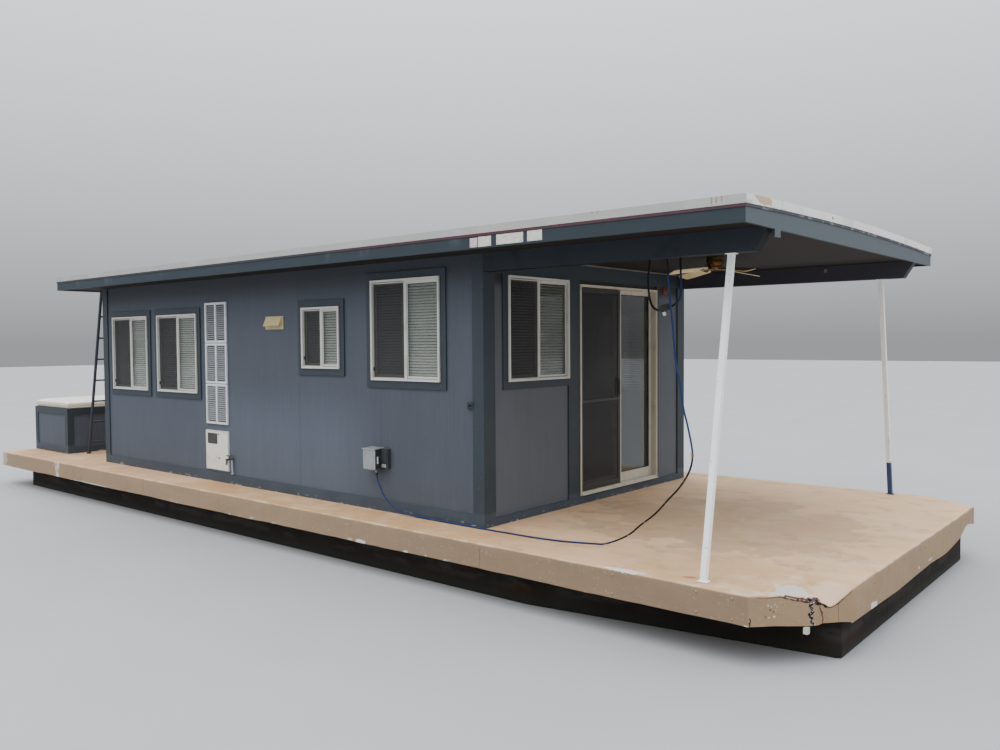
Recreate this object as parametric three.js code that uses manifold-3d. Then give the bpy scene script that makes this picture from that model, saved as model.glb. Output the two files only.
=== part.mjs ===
// A family houseboat: a steel barge hull, a wide deck with a turned-down skirt, a timber cabin,
// a covered bow porch on two leaning posts, and a flat roof that reaches over the side decks.
// Millimetres. +X points to the bow, +Y to port, +Z up. The hull's flat bottom lies on Z = 0,
// and the origin is under the middle of the deck.

import * as THREE from 'three';
import { mergeVertices } from 'three/addons/utils/BufferGeometryUtils.js';
import Module from 'manifold-3d';

const wasm = await Module();
wasm.setup();

// Gap between a piece and what carries it or is cut by it.
const GAP = 0.3;
// How far a sliding sash rides above its track.
const RUN = 0.8;
// Clearance round a moving piece.
const CLEAR = 6;

// Deck and hull
const DECK_Z = 690;
const DECK_LENGTH = 12100;
const DECK_BEAM = 4310;
const DECK_THICK = 40;
const SKIRT_DEEP = 200;
const SKIRT_THICK = 8;
const CHAMFER_STARBOARD = { along: 445, across: 564 };
const CHAMFER_PORT = { along: 430, across: 319 };
const HULL_STERN_X = -5500;
const HULL_BOW_X = 5990;
const HULL_TAPER_X = 3700;
const HULL_HALF = 1955;
const HULL_BOW_HALF = 1600;
const RAKE_TOP_Z = 230;
const BOW_RAKE = 900;
const STERN_RAKE = 350;

// Cabin
const CABIN_AFT_X = -3648;
const CABIN_FRONT_X = 3074;
const CABIN_HALF = 1724;
const WALL_THICK = 80;
const CEILING_Z = DECK_Z + 2310;
const TRIM_RELIEF = 15;
const TRIM_WIDE = 68;
const BASE_BAND = 105;
const CORNER_BOARD = 110;
const FRONT_CORNER_BOARD = 150;
const HEADER_BOARD = 150;

// Roof
const ROOF_AFT_X = -4074;
const ROOF_BOW_X = 5575;
const ROOF_HALF = 2143;
const FASCIA_BOTTOM_Z = DECK_Z + 2292;
const FASCIA_TOP_Z = DECK_Z + 2387;
const FASCIA_THICK = 20;
const ROOF_CAMBER = 36;
const DRIP_THICK = 20;
const DRIP_PROUD = 5;
const MEMBRANE_THICK = 58;
const MEMBRANE_PROUD = 7;

// Porch
const BEAM_HALF = 1742;
const BEAM_WIDE = 90;
const BEAM_BOTTOM_Z = DECK_Z + 2155;
const BEAM_NOSE_X = 5455;
const POST_SIDE = 40;
const POST_FOOT = { starboardX: 5254, portX: 5246, y: 2050 };
const POST_HEAD = { starboardX: 5276, portX: 5238, y: 1697 };
const POST_PLATE = { x: 70, y: 58, thick: 6 };
const FASCIA_BLOCK = { y: -1650, wide: 95, drop: 50 };

// Windows: name, wall, place along the wall, sill above the deck, width and height of the frame.
// A port wall counts its places towards the stern, and the rear wall towards starboard.
const WINDOWS = [
  { name: 'window_starboard_1', wall: 'starboard', at: -2936, sill: 995, wide: 893, high: 930 },
  { name: 'window_starboard_2', wall: 'starboard', at: -1794, sill: 995, wide: 893, high: 930 },
  { name: 'window_starboard_3', wall: 'starboard', at: 935, sill: 1318, wide: 585, high: 612 },
  { name: 'window_starboard_4', wall: 'starboard', at: 2142, sill: 1222, wide: 893, high: 927 },
  { name: 'window_port_1', wall: 'port', at: 2500, sill: 1222, wide: 893, high: 927 },
  { name: 'window_port_2', wall: 'port', at: 300, sill: 1318, wide: 585, high: 612 },
  { name: 'window_port_3', wall: 'port', at: -2400, sill: 995, wide: 893, high: 930 },
  { name: 'window_front', wall: 'front', at: -964, sill: 1224, wide: 893, high: 922 },
  { name: 'window_rear', wall: 'rear', at: -1000, sill: 995, wide: 893, high: 930 },
];
const WINDOW_BORDER = 20;
const WINDOW_MULLION = 32;
const MULLION_PROUD = 4;
const WINDOW_PROUD = 28;
const WINDOW_DEEP = 36;
const GLASS_THICK = 5;
const GLASS_INSET = 9;

// Patio door in the front wall
const PATIO = { y0: -335, y1: 1121, z0: DECK_Z + 80, high: 2040, proud: 20, deep: 94, border: 26, sill: 34 };
const SASH = { stile: 42, bottom: 92, thick: 25, overlap: 40 };
const SCREEN = { stile: 46, thick: 12, web: 2, overlap: 2 };
const TRACK_X = { fixed: 3006, sliding: 3038, screen: 3072 };

// Rear door
const REAR_DOOR = { half: 390, z0: DECK_Z + 40, high: 1980, thick: 45, gap: 8, panelInset: 120, panelDeep: 8 };

// Things on the starboard wall
const LOUVRE = { x: -946, wide: 430, z0: DECK_Z + 656, high: 1388, sections: 3, slats: 11, proud: 22, rim: 26 };
const HATCH = { x: -958, wide: 455, z0: DECK_Z + 135, high: 449, thick: 16, lap: 22 };
const HOOD = { x: 161, wide: 310, z0: DECK_Z + 1719, high: 137, plate: 8, flapWide: 273, lip: 34, deep: 52 };
const POWER_BOX = { x0: 1671, x1: 1834, z0: DECK_Z + 393, high: 197, deep: 110 };
const OUTLET_BOX = { wide: 92, deep: 38 };
const BIB = { x: -665, z: DECK_Z + 281, reach: 90, pipe: 12, wheel: 30 };

// Stern locker
const LOCKER = { x0: -6030, x1: -4929, half: 1690, high: 650, wall: 22, relief: 12, board: 90, floor: 20 };
const LID = { over: 14, thick: 96, crown: 34, gap: 12, bevel: 26 };

// Roof ladder
const LADDER = {
  footX: -4739, y0: -1480, y1: -1080, rail: 20, rung: 12, slope: 0.2188, topZ: 3030,
  firstRung: 165, rungPitch: 300, rungs: 8, pad: 30,
};

// Ceiling fan
const FAN = { x: 4324, y: 0, bodyR: 78, bodyHigh: 78, hubR: 66, bladeIn: 50, bladeOut: 480, bladeWide: 115 };
const FAN_BLADES = 4;
const BLADE_PITCH = THREE.MathUtils.degToRad(14);
const BLADE_DROOP = THREE.MathUtils.degToRad(6.5);
const FAN_TURN = THREE.MathUtils.degToRad(65);

// Power cord from the box on the starboard wall, along the deck and up to the porch ceiling.
const CORD_D = 14;
const CORD_SIDES = 8;
const CORD_STEPS = 80;
const LOOP_STEPS = 48;
const RACEWAY = { x0: 4545, x1: 4842, y0: -1624, y1: -1531, deep: 8 };
const GLAND = { r: 14, high: 26 };
const CORD_EXIT = { x: 1806, y: -1790, z: DECK_Z + 393 };
const CORD_TOP = { x: 4732, y: -1600, z: CEILING_Z };
const CORD_REST_Z = DECK_Z + CORD_D / 2 + GAP * 2;
const CORD_POINTS = [
  [CORD_EXIT.x, CORD_EXIT.y, CORD_EXIT.z - GLAND.high - GAP * 2.5],
  [CORD_EXIT.x, CORD_EXIT.y, CORD_EXIT.z - GLAND.high - 20],
  [1811, -1790, DECK_Z + 310],
  [1850, -1790, DECK_Z + 230],
  [1930, -1790, DECK_Z + 128],
  [2060, -1782, DECK_Z + 52],
  [2230, -1772, DECK_Z + 18],
  [2420, -1768, CORD_REST_Z],
  [2700, -1770, CORD_REST_Z],
  [3063, -1770, CORD_REST_Z],
  [3350, -1764, CORD_REST_Z],
  [3650, -1755, CORD_REST_Z],
  [3900, -1716, CORD_REST_Z],
  [4060, -1660, CORD_REST_Z],
  [4172, -1618, CORD_REST_Z],
  [4288, -1600, DECK_Z + 46],
  [4421, -1600, DECK_Z + 119],
  [4508, -1600, DECK_Z + 194],
  [4635, -1600, DECK_Z + 297],
  [4742, -1600, DECK_Z + 413],
  [4839, -1600, DECK_Z + 518],
  [4918, -1600, DECK_Z + 648],
  [4938, -1600, DECK_Z + 757],
  [4904, -1600, DECK_Z + 944],
  [4867, -1600, DECK_Z + 1085],
  [4837, -1600, DECK_Z + 1278],
  [4808, -1600, DECK_Z + 1396],
  [4780, -1600, DECK_Z + 1669],
  [4761, -1600, DECK_Z + 1835],
  [4746, -1600, DECK_Z + 2008],
  [4735, -1600, DECK_Z + 2159],
  [CORD_TOP.x, CORD_TOP.y, CORD_TOP.z - RACEWAY.deep - GLAND.high - GAP * 2],
];

// Outlet cord: a loop that hangs from the ceiling, with a three-way outlet at its low point.
const LOOP_D = 11;
const LOOP_ENDS = [4571, 4815];
const LOOP_Y = -1555;
const TAP = { x0: 4655, x1: 4733, z: DECK_Z + 1809, high: 50, wide: 32, tilt: -0.26 };
const LOOP_POINTS = [
  [LOOP_ENDS[0], LOOP_Y, CEILING_Z - RACEWAY.deep - GLAND.high - GAP * 2],
  [4567, LOOP_Y, DECK_Z + 2166],
  [4559, LOOP_Y, DECK_Z + 2093],
  [4551, LOOP_Y, DECK_Z + 2020],
  [4555, LOOP_Y, DECK_Z + 1946],
  [4567, LOOP_Y, DECK_Z + 1872],
  [4592, LOOP_Y, DECK_Z + 1820],
  [4634, LOOP_Y, DECK_Z + 1795],
  [4694, LOOP_Y, DECK_Z + 1808],
  [4749, LOOP_Y, DECK_Z + 1822],
  [4786, LOOP_Y, DECK_Z + 1842],
  [4812, LOOP_Y, DECK_Z + 1878],
  [4821, LOOP_Y, DECK_Z + 1932],
  [4820, LOOP_Y, DECK_Z + 2028],
  [4817, LOOP_Y, DECK_Z + 2164],
  [LOOP_ENDS[1], LOOP_Y, CEILING_Z - RACEWAY.deep - GLAND.high - GAP * 2],
];

const COLOURS = {
  hull: 0x2b2724,
  deck: 0xb89f86,
  skirt: 0xa5947d,
  siding: 0x566070,
  trim: 0x3f4e5a,
  roof: 0xcfd0cc,
  drip: 0x4b323c,
  ceiling: 0x57514d,
  white: 0xdcdcd8,
  cream: 0xd8d2c0,
  glass: 0x7f8c90,
  screen: 0x24262a,
  brass: 0xa98442,
  blade: 0xd9c591,
  cushion: 0xded9c8,
  darkMetal: 0x33363c,
  greyMetal: 0x8d9290,
  beige: 0xc3b384,
  cord: 0x27406e,
};

const houseboat = new THREE.Group();
houseboat.name = 'houseboat';

function material(colour, roughness = 0.7, metalness = 0) {
  return new THREE.MeshStandardMaterial({ color: COLOURS[colour], roughness, metalness });
}

// Solids and geometries

function solidOf(geometry) {
  const bare = geometry.clone();
  bare.deleteAttribute('normal');
  bare.deleteAttribute('uv');
  const merged = mergeVertices(bare, 1e-4);
  return new wasm.Manifold(new wasm.Mesh({
    numProp: 3,
    vertProperties: new Float32Array(merged.attributes.position.array),
    triVerts: new Uint32Array(merged.index.array),
  }));
}

function geometryOf(solid) {
  const mesh = solid.getMesh();
  const geometry = new THREE.BufferGeometry();
  geometry.setAttribute('position', new THREE.BufferAttribute(new Float32Array(mesh.vertProperties), 3));
  geometry.setIndex(new THREE.BufferAttribute(new Uint32Array(mesh.triVerts), 1));
  geometry.computeVertexNormals();
  return geometry;
}

function join(solids) {
  return solids.reduce((whole, piece) => whole.add(piece));
}

function addPiece(name, shape, finish) {
  const geometry = shape.isBufferGeometry ? shape : geometryOf(shape);
  const mesh = new THREE.Mesh(geometry, finish);
  mesh.name = name;
  houseboat.add(mesh);
  return mesh;
}

function box(x0, x1, y0, y1, z0, z1) {
  const geometry = new THREE.BoxGeometry(x1 - x0, y1 - y0, z1 - z0);
  return geometry.translate((x0 + x1) / 2, (y0 + y1) / 2, (z0 + z1) / 2);
}

function boxSolid(...limits) {
  return solidOf(box(...limits));
}

function shapeOf(points) {
  return new THREE.Shape(points.map(([a, b]) => new THREE.Vector2(a, b)));
}

// An outline in plan, raised from z0 to z1.
function planPrism(points, z0, z1) {
  const geometry = new THREE.ExtrudeGeometry(shapeOf(points), { depth: z1 - z0, bevelEnabled: false });
  return geometry.translate(0, 0, z0);
}

// An outline of (x, z) points, from y0 to y1.
function sidePrism(points, y0, y1) {
  const geometry = new THREE.ExtrudeGeometry(shapeOf(points), { depth: y1 - y0, bevelEnabled: false });
  return geometry.rotateX(Math.PI / 2).translate(0, y1, 0);
}

// An outline of (y, z) points, from x0 to x1.
function crossPrism(points, x0, x1) {
  const geometry = new THREE.ExtrudeGeometry(shapeOf(points), { depth: x1 - x0, bevelEnabled: false });
  const turn = new THREE.Matrix4().makeBasis(
    new THREE.Vector3(0, 1, 0), new THREE.Vector3(0, 0, 1), new THREE.Vector3(1, 0, 0));
  return geometry.applyMatrix4(turn).translate(x0, 0, 0);
}

function rod(from, to, radius, sides = 12) {
  const a = new THREE.Vector3(...from);
  const b = new THREE.Vector3(...to);
  const geometry = new THREE.CylinderGeometry(radius, radius, a.distanceTo(b), sides);
  const turn = new THREE.Quaternion().setFromUnitVectors(
    new THREE.Vector3(0, 1, 0), b.clone().sub(a).normalize());
  geometry.applyQuaternion(turn);
  const middle = a.clone().add(b).multiplyScalar(0.5);
  return geometry.translate(middle.x, middle.y, middle.z);
}

function ball(centre, radius) {
  return new THREE.SphereGeometry(radius, 12, 8).translate(...centre);
}

function lathe(profile, x, y, z, sides = 32) {
  const points = profile.map(([r, h]) => new THREE.Vector2(r, h));
  return new THREE.LatheGeometry(points, sides).rotateX(Math.PI / 2).translate(x, y, z);
}

// Hull and deck

const DECK_AFT = -DECK_LENGTH / 2;
const DECK_BOW = DECK_LENGTH / 2;
const DECK_HALF = DECK_BEAM / 2;

function deckOutline() {
  return [
    [DECK_AFT, -DECK_HALF],
    [DECK_BOW - CHAMFER_STARBOARD.along, -DECK_HALF],
    [DECK_BOW, -DECK_HALF + CHAMFER_STARBOARD.across],
    [DECK_BOW, DECK_HALF - CHAMFER_PORT.across],
    [DECK_BOW - CHAMFER_PORT.along, DECK_HALF],
    [DECK_AFT, DECK_HALF],
  ];
}

// A convex outline, counter-clockwise, moved inwards by a thickness.
function inset(points, by) {
  const lines = points.map((p, i) => {
    const q = points[(i + 1) % points.length];
    const length = Math.hypot(q[0] - p[0], q[1] - p[1]);
    const normal = [-(q[1] - p[1]) / length, (q[0] - p[0]) / length];
    return { normal, level: normal[0] * p[0] + normal[1] * p[1] + by };
  });
  return points.map((p, i) => {
    const one = lines[(i + points.length - 1) % points.length];
    const two = lines[i];
    const det = one.normal[0] * two.normal[1] - one.normal[1] * two.normal[0];
    return [
      (one.level * two.normal[1] - two.level * one.normal[1]) / det,
      (one.normal[0] * two.level - two.normal[0] * one.level) / det,
    ];
  });
}

function hullSolid() {
  const top = DECK_Z - DECK_THICK - GAP;
  const plan = planPrism([
    [HULL_STERN_X, -HULL_HALF], [HULL_TAPER_X, -HULL_HALF], [HULL_BOW_X, -HULL_BOW_HALF],
    [HULL_BOW_X, HULL_BOW_HALF], [HULL_TAPER_X, HULL_HALF], [HULL_STERN_X, HULL_HALF],
  ], 0, top);
  const profile = sidePrism([
    [HULL_STERN_X + STERN_RAKE, 0], [HULL_BOW_X - BOW_RAKE, 0], [HULL_BOW_X, RAKE_TOP_Z],
    [HULL_BOW_X, top], [HULL_STERN_X, top], [HULL_STERN_X, RAKE_TOP_Z / 2],
  ], -DECK_HALF, DECK_HALF);
  return solidOf(plan).intersect(solidOf(profile));
}

function buildHullAndDeck() {
  addPiece('hull', hullSolid(), material('hull', 0.85, 0.3));
  const outer = deckOutline();
  const inner = inset(outer, SKIRT_THICK);
  addPiece('deck_plate', planPrism(inset(outer, SKIRT_THICK + GAP), DECK_Z - DECK_THICK, DECK_Z),
    material('deck', 0.8));
  const z0 = DECK_Z - SKIRT_DEEP;
  // Corner numbers of the outline that each skirt runs along.
  const strips = [
    ['skirt_starboard', [0, 1, 2]], ['skirt_bow', [2, 3]], ['skirt_port', [3, 4, 5]], ['skirt_stern', [5, 0]],
  ];
  for (const [name, corners] of strips) {
    const strip = [...corners.map((i) => outer[i]), ...corners.map((i) => inner[i]).reverse()];
    const short = corners.length === 2 ? GAP : 0;
    const trimmed = strip.map(([x, y]) => [x, y - Math.sign(y) * short]);
    addPiece(name, planPrism(trimmed, z0, DECK_Z), material('skirt', 0.75, 0.1));
  }
}

// Cabin walls. Each wall has its own flat frame: u along it, v up and w out of its outer face.

const WALL_FRAMES = {
  starboard: { u: [1, 0, 0], w: [0, -1, 0], origin: [0, -CABIN_HALF, 0] },
  port: { u: [-1, 0, 0], w: [0, 1, 0], origin: [0, CABIN_HALF, 0] },
  front: { u: [0, 1, 0], w: [1, 0, 0], origin: [CABIN_FRONT_X, 0, 0] },
  rear: { u: [0, -1, 0], w: [-1, 0, 0], origin: [CABIN_AFT_X, 0, 0] },
};

function onWall(geometry, wall) {
  const frame = WALL_FRAMES[wall];
  const turn = new THREE.Matrix4().makeBasis(
    new THREE.Vector3(...frame.u), new THREE.Vector3(0, 0, 1), new THREE.Vector3(...frame.w));
  return geometry.applyMatrix4(turn).translate(...frame.origin);
}

// A block in a wall's frame, from w0 to w1 out of its outer face.
function wallBlock(wall, u0, u1, v0, v1, w0, w1) {
  return solidOf(onWall(box(u0, u1, v0, v1, w0, w1), wall));
}

function windowOpening(w) {
  return [w.at - w.wide / 2 - GAP, w.at + w.wide / 2 + GAP, DECK_Z + w.sill - GAP, DECK_Z + w.sill + w.high + GAP];
}

// A wall with its boards joined on and its holes cut through everything.
function wallSolid(wall, u0, u1, boards, holes) {
  const z0 = DECK_Z + GAP;
  const z1 = CEILING_Z - GAP;
  const body = wallBlock(wall, u0, u1, z0, z1, -WALL_THICK, 0);
  const trims = boards.map(([a, b, c, d]) => wallBlock(
    wall, a, b, Math.max(c, z0), Math.min(d, z1), 0, TRIM_RELIEF));
  const cuts = holes.map(([a, b, c, d]) => wallBlock(wall, a, b, c, d, -WALL_THICK - 10, WINDOW_PROUD));
  return join([body, ...trims]).subtract(join(cuts));
}

function windowBoards(wall) {
  return WINDOWS.filter((w) => w.wall === wall).map((w) => [
    w.at - w.wide / 2 - TRIM_WIDE, w.at + w.wide / 2 + TRIM_WIDE,
    DECK_Z + w.sill - TRIM_WIDE, DECK_Z + w.sill + w.high + TRIM_WIDE,
  ]);
}

function windowHoles(wall) {
  return WINDOWS.filter((w) => w.wall === wall).map(windowOpening);
}

const REAR_HOLE = [
  -REAR_DOOR.half - REAR_DOOR.gap, REAR_DOOR.half + RUN,
  REAR_DOOR.z0 - REAR_DOOR.gap, REAR_DOOR.z0 + REAR_DOOR.high + REAR_DOOR.gap,
];

function sideWall(wall) {
  const aft = wall === 'starboard' ? CABIN_AFT_X + GAP : -CABIN_FRONT_X + GAP;
  const fore = wall === 'starboard' ? CABIN_FRONT_X - GAP : -CABIN_AFT_X - GAP;
  const boards = [
    [aft, fore, DECK_Z, DECK_Z + BASE_BAND],
    [aft, aft + CORNER_BOARD, DECK_Z, CEILING_Z],
    [fore - CORNER_BOARD, fore, DECK_Z, CEILING_Z],
    ...windowBoards(wall),
  ];
  const holes = windowHoles(wall);
  if (wall === 'starboard') {
    holes.push([
      HATCH.x - HATCH.wide / 2 + HATCH.lap, HATCH.x + HATCH.wide / 2 - HATCH.lap,
      HATCH.z0 + HATCH.lap, HATCH.z0 + HATCH.high - HATCH.lap,
    ]);
  }
  return wallSolid(wall, aft, fore, boards, holes);
}

function frontWall() {
  const half = CABIN_HALF - WALL_THICK - GAP;
  const edge = CABIN_HALF + TRIM_RELIEF;
  const left = WINDOWS.find((w) => w.wall === 'front');
  const boards = [
    [-half, half, DECK_Z, DECK_Z + 70],
    [-edge, -edge + FRONT_CORNER_BOARD, DECK_Z, CEILING_Z],
    [edge - FRONT_CORNER_BOARD, edge, DECK_Z, CEILING_Z],
    [-edge, edge, CEILING_Z - HEADER_BOARD, CEILING_Z],
    [left.at + left.wide / 2, PATIO.y0, DECK_Z, CEILING_Z],
    [PATIO.y1, PATIO.y1 + 40, DECK_Z, CEILING_Z],
    ...windowBoards('front'),
  ];
  const holes = [
    ...windowHoles('front'),
    [PATIO.y0 - GAP, PATIO.y1 + GAP, PATIO.z0 - GAP, PATIO.z0 + PATIO.high + GAP],
  ];
  return wallSolid('front', -half, half, boards, holes);
}

function rearWall() {
  const half = CABIN_HALF - WALL_THICK - GAP;
  const edge = CABIN_HALF + TRIM_RELIEF;
  const boards = [
    [-edge, edge, DECK_Z, DECK_Z + BASE_BAND],
    [-edge, -edge + CORNER_BOARD, DECK_Z, CEILING_Z],
    [edge - CORNER_BOARD, edge, DECK_Z, CEILING_Z],
    [REAR_HOLE[0] - TRIM_WIDE, REAR_HOLE[1] + TRIM_WIDE, DECK_Z, REAR_HOLE[3] + TRIM_WIDE],
    ...windowBoards('rear'),
  ];
  return wallSolid('rear', -half, half, boards, [...windowHoles('rear'), REAR_HOLE]);
}

function buildWalls() {
  const paint = () => material('siding', 0.8);
  addPiece('wall_starboard', sideWall('starboard'), paint());
  addPiece('wall_port', sideWall('port'), paint());
  addPiece('wall_front', frontWall(), paint());
  addPiece('wall_rear', rearWall(), paint());
}

// Windows: an aluminium frame with a set-back middle stile, and one pane behind it.

function windowFrame(w) {
  const z0 = DECK_Z + w.sill;
  const z1 = z0 + w.high;
  const half = w.wide / 2;
  const back = WINDOW_PROUD - WINDOW_DEEP;
  const block = wallBlock(w.wall, w.at - half, w.at + half, z0, z1, back, WINDOW_PROUD);
  const light = wallBlock(w.wall, w.at - half + WINDOW_BORDER, w.at + half - WINDOW_BORDER,
    z0 + WINDOW_BORDER, z1 - WINDOW_BORDER, back - 1, WINDOW_PROUD + 1);
  const mullion = wallBlock(w.wall, w.at - WINDOW_MULLION / 2, w.at + WINDOW_MULLION / 2,
    z0 + WINDOW_BORDER / 2, z1 - WINDOW_BORDER / 2, back, MULLION_PROUD);
  return join([block.subtract(light), mullion]);
}

function windowPane(w) {
  const half = w.wide / 2 - GLASS_INSET;
  const back = WINDOW_PROUD - WINDOW_DEEP - GAP;
  const z0 = DECK_Z + w.sill + GLASS_INSET;
  return onWall(box(w.at - half, w.at + half, z0, z0 + w.high - 2 * GLASS_INSET, back - GLASS_THICK, back), w.wall);
}

function buildWindows() {
  for (const w of WINDOWS) {
    addPiece(`${w.name}_frame`, windowFrame(w), material('white', 0.5));
    addPiece(`${w.name}_glass`, windowPane(w), material('glass', 0.1));
  }
}

// Patio door: a frame, a fixed sash to port, a sliding sash and an insect screen to starboard.

function ringOnFront(y0, y1, z0, z1, borders, x0, x1) {
  const [side, bottom, top] = borders;
  const light = boxSolid(x0 - 1, x1 + 1, y0 + side, y1 - side, z0 + bottom, z1 - top);
  return boxSolid(x0, x1, y0, y1, z0, z1).subtract(light);
}

function buildPatioDoor() {
  const p = PATIO;
  const z1 = p.z0 + p.high;
  const x1 = CABIN_FRONT_X + p.proud;
  addPiece('patio_door_frame',
    ringOnFront(p.y0, p.y1, p.z0, z1, [p.border, p.sill, p.border], x1 - p.deep, x1), material('cream', 0.5));

  const inner = { y0: p.y0 + p.border, y1: p.y1 - p.border, z0: p.z0 + p.sill, z1: z1 - p.border };
  const meet = (inner.y0 + inner.y1) / 2;
  const borders = [SASH.stile, SASH.bottom, SASH.stile];

  const fixed = { y0: meet, y1: inner.y1 - GAP, z0: inner.z0 + GAP, z1: inner.z1 - GAP };
  addPiece('patio_fixed_sash', ringOnFront(fixed.y0, fixed.y1, fixed.z0, fixed.z1, borders,
    TRACK_X.fixed, TRACK_X.fixed + SASH.thick), material('cream', 0.5));
  addPiece('patio_fixed_glass', sashPane(fixed, TRACK_X.fixed), material('glass', 0.1));

  const slide = { y0: inner.y0 + CLEAR, y1: meet + SASH.overlap, z0: inner.z0 + RUN, z1: inner.z1 - CLEAR };
  addPiece('patio_sliding_sash', ringOnFront(slide.y0, slide.y1, slide.z0, slide.z1, borders,
    TRACK_X.sliding, TRACK_X.sliding + SASH.thick), material('cream', 0.5));
  addPiece('patio_sliding_glass', sashPane(slide, TRACK_X.sliding), material('glass', 0.1));

  const s = { ...slide, y1: meet + SCREEN.overlap };
  const leaf = boxSolid(TRACK_X.screen, TRACK_X.screen + SCREEN.thick, s.y0, s.y1, s.z0, s.z1);
  const pocket = (x0, x1b) => boxSolid(x0, x1b, s.y0 + SCREEN.stile, s.y1 - SCREEN.stile,
    s.z0 + SCREEN.stile, s.z1 - SCREEN.stile);
  const side = (SCREEN.thick - SCREEN.web) / 2;
  const screen = leaf
    .subtract(pocket(TRACK_X.screen - 1, TRACK_X.screen + side))
    .subtract(pocket(TRACK_X.screen + SCREEN.thick - side, TRACK_X.screen + SCREEN.thick + 1));
  addPiece('patio_screen', screen, material('screen', 0.8));
}

// The pane sits inside its sash's opening.
function sashPane(sash, x0) {
  const middle = x0 + SASH.thick / 2;
  return box(middle - GLASS_THICK / 2, middle + GLASS_THICK / 2,
    sash.y0 + SASH.stile + GAP, sash.y1 - SASH.stile - GAP,
    sash.z0 + SASH.bottom + GAP, sash.z1 - SASH.stile - GAP);
}

// Rear door, hung on its starboard edge. Its outer face is flush with the trim.
function buildRearDoor() {
  const d = REAR_DOOR;
  const outer = TRIM_RELIEF + 1;
  const leaf = wallBlock('rear', -d.half, d.half, d.z0, d.z0 + d.high, outer - d.thick, outer);
  const panels = [[d.z0 + d.panelInset, d.z0 + 860], [d.z0 + 1000, d.z0 + d.high - d.panelInset]];
  const recesses = panels.map(([a, b]) => wallBlock('rear',
    -d.half + d.panelInset, d.half - d.panelInset, a, b, outer - d.panelDeep, outer + 10));
  addPiece('rear_door', leaf.subtract(join(recesses)), material('cream', 0.6));
}

// Starboard wall fittings

function louvreSolid() {
  const l = LOUVRE;
  const u0 = l.x - l.wide / 2;
  const u1 = l.x + l.wide / 2;
  const sectionHigh = l.high / l.sections;
  let panel = wallBlock('starboard', u0, u1, l.z0, l.z0 + l.high, GAP, l.proud);
  const cuts = [];
  const slats = [];
  for (let section = 0; section < l.sections; section += 1) {
    const z0 = l.z0 + section * sectionHigh + l.rim;
    const high = sectionHigh - 2 * l.rim;
    for (const [a, b] of [[u0 + l.rim, l.x - l.rim / 3], [l.x + l.rim / 3, u1 - l.rim]]) {
      cuts.push(wallBlock('starboard', a, b, z0, z0 + high, 5, l.proud + 5));
      for (let i = 0; i < l.slats; i += 1) {
        const v = z0 + (i + 0.25) * (high / l.slats);
        slats.push(wallBlock('starboard', a - 2, b + 2, v, v + high / l.slats / 2.4, 3, l.proud - 7));
      }
    }
  }
  panel = panel.subtract(join(cuts));
  return join([panel, ...slats]);
}

// A thin plate with a slanted flap that is open underneath.
function hoodSolid() {
  const h = HOOD;
  const back = -CABIN_HALF - GAP;
  const top = h.z0 + h.high - h.plate;
  const low = h.z0 + h.lip;
  const outline = [
    [back, low], [back, top], [back - h.plate * 1.5, top], [back - h.deep, low + h.plate], [back - h.deep, low],
  ];
  const flap = solidOf(crossPrism(outline, h.x - h.flapWide / 2, h.x + h.flapWide / 2));
  const mouth = boxSolid(h.x - h.flapWide / 2 + 8, h.x + h.flapWide / 2 - 8,
    back - h.deep + 14, back - h.plate - 4, low - 5, low + 16);
  const plate = boxSolid(h.x - h.wide / 2, h.x + h.wide / 2, back - h.plate, back, h.z0, h.z0 + h.high);
  return join([flap.subtract(mouth), plate]);
}

function powerBoxSolid() {
  const p = POWER_BOX;
  const face = -CABIN_HALF - GAP;
  const main = boxSolid(p.x0, p.x1, face - p.deep, face, p.z0, p.z0 + p.high);
  const side = boxSolid(p.x1 - 1, p.x1 + OUTLET_BOX.wide, face - OUTLET_BOX.deep, face, p.z0 + 14, p.z0 + p.high);
  const gland = solidOf(new THREE.CylinderGeometry(GLAND.r, GLAND.r, GLAND.high + 4, 16)
    .rotateX(Math.PI / 2)
    .translate(CORD_EXIT.x, CORD_EXIT.y, CORD_EXIT.z - GLAND.high / 2 + 2));
  return join([main, side, gland]);
}

function bibSolid() {
  const b = BIB;
  const face = -CABIN_HALF - GAP;
  const flange = rod([b.x, face, b.z], [b.x, face - 8, b.z], 26, 16);
  const pipe = rod([b.x, face - 4, b.z], [b.x, face - b.reach, b.z], b.pipe, 12);
  const spout = rod([b.x, face - b.reach + 16, b.z], [b.x, face - b.reach + 4, b.z - 58], b.pipe, 12);
  const stem = rod([b.x, face - 48, b.z], [b.x, face - 48, b.z + 44], 7, 10);
  const wheel = rod([b.x, face - 48, b.z + 38], [b.x, face - 48, b.z + 48], b.wheel, 16);
  return join([flange, pipe, spout, stem, wheel].map(solidOf));
}

function buildStarboardFittings() {
  addPiece('louvre_vent_stack', louvreSolid(), material('white', 0.6));
  const h = HATCH;
  addPiece('access_hatch', wallBlock('starboard', h.x - h.wide / 2, h.x + h.wide / 2,
    h.z0, h.z0 + h.high, GAP, GAP + h.thick), material('cream', 0.6));
  addPiece('vent_hood', hoodSolid(), material('beige', 0.6));
  addPiece('power_box', powerBoxSolid(), material('greyMetal', 0.5, 0.4));
  addPiece('hose_bib', bibSolid(), material('brass', 0.4, 0.8));
}

// Roof: every layer has the same crowned section.

function crownedSection(half, bottomZ, topZ, crownBottom) {
  const steps = 12;
  const crown = (y) => ROOF_CAMBER * (1 - (y / ROOF_HALF) ** 2);
  const edge = Array.from({ length: steps + 1 }, (_, i) => -half + (2 * half * i) / steps);
  const bottom = crownBottom ? edge.map((y) => [y, bottomZ + crown(y)]) : [[-half, bottomZ], [half, bottomZ]];
  const top = edge.map((y) => [y, topZ + crown(y)]).reverse();
  return [...bottom, ...top];
}

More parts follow.
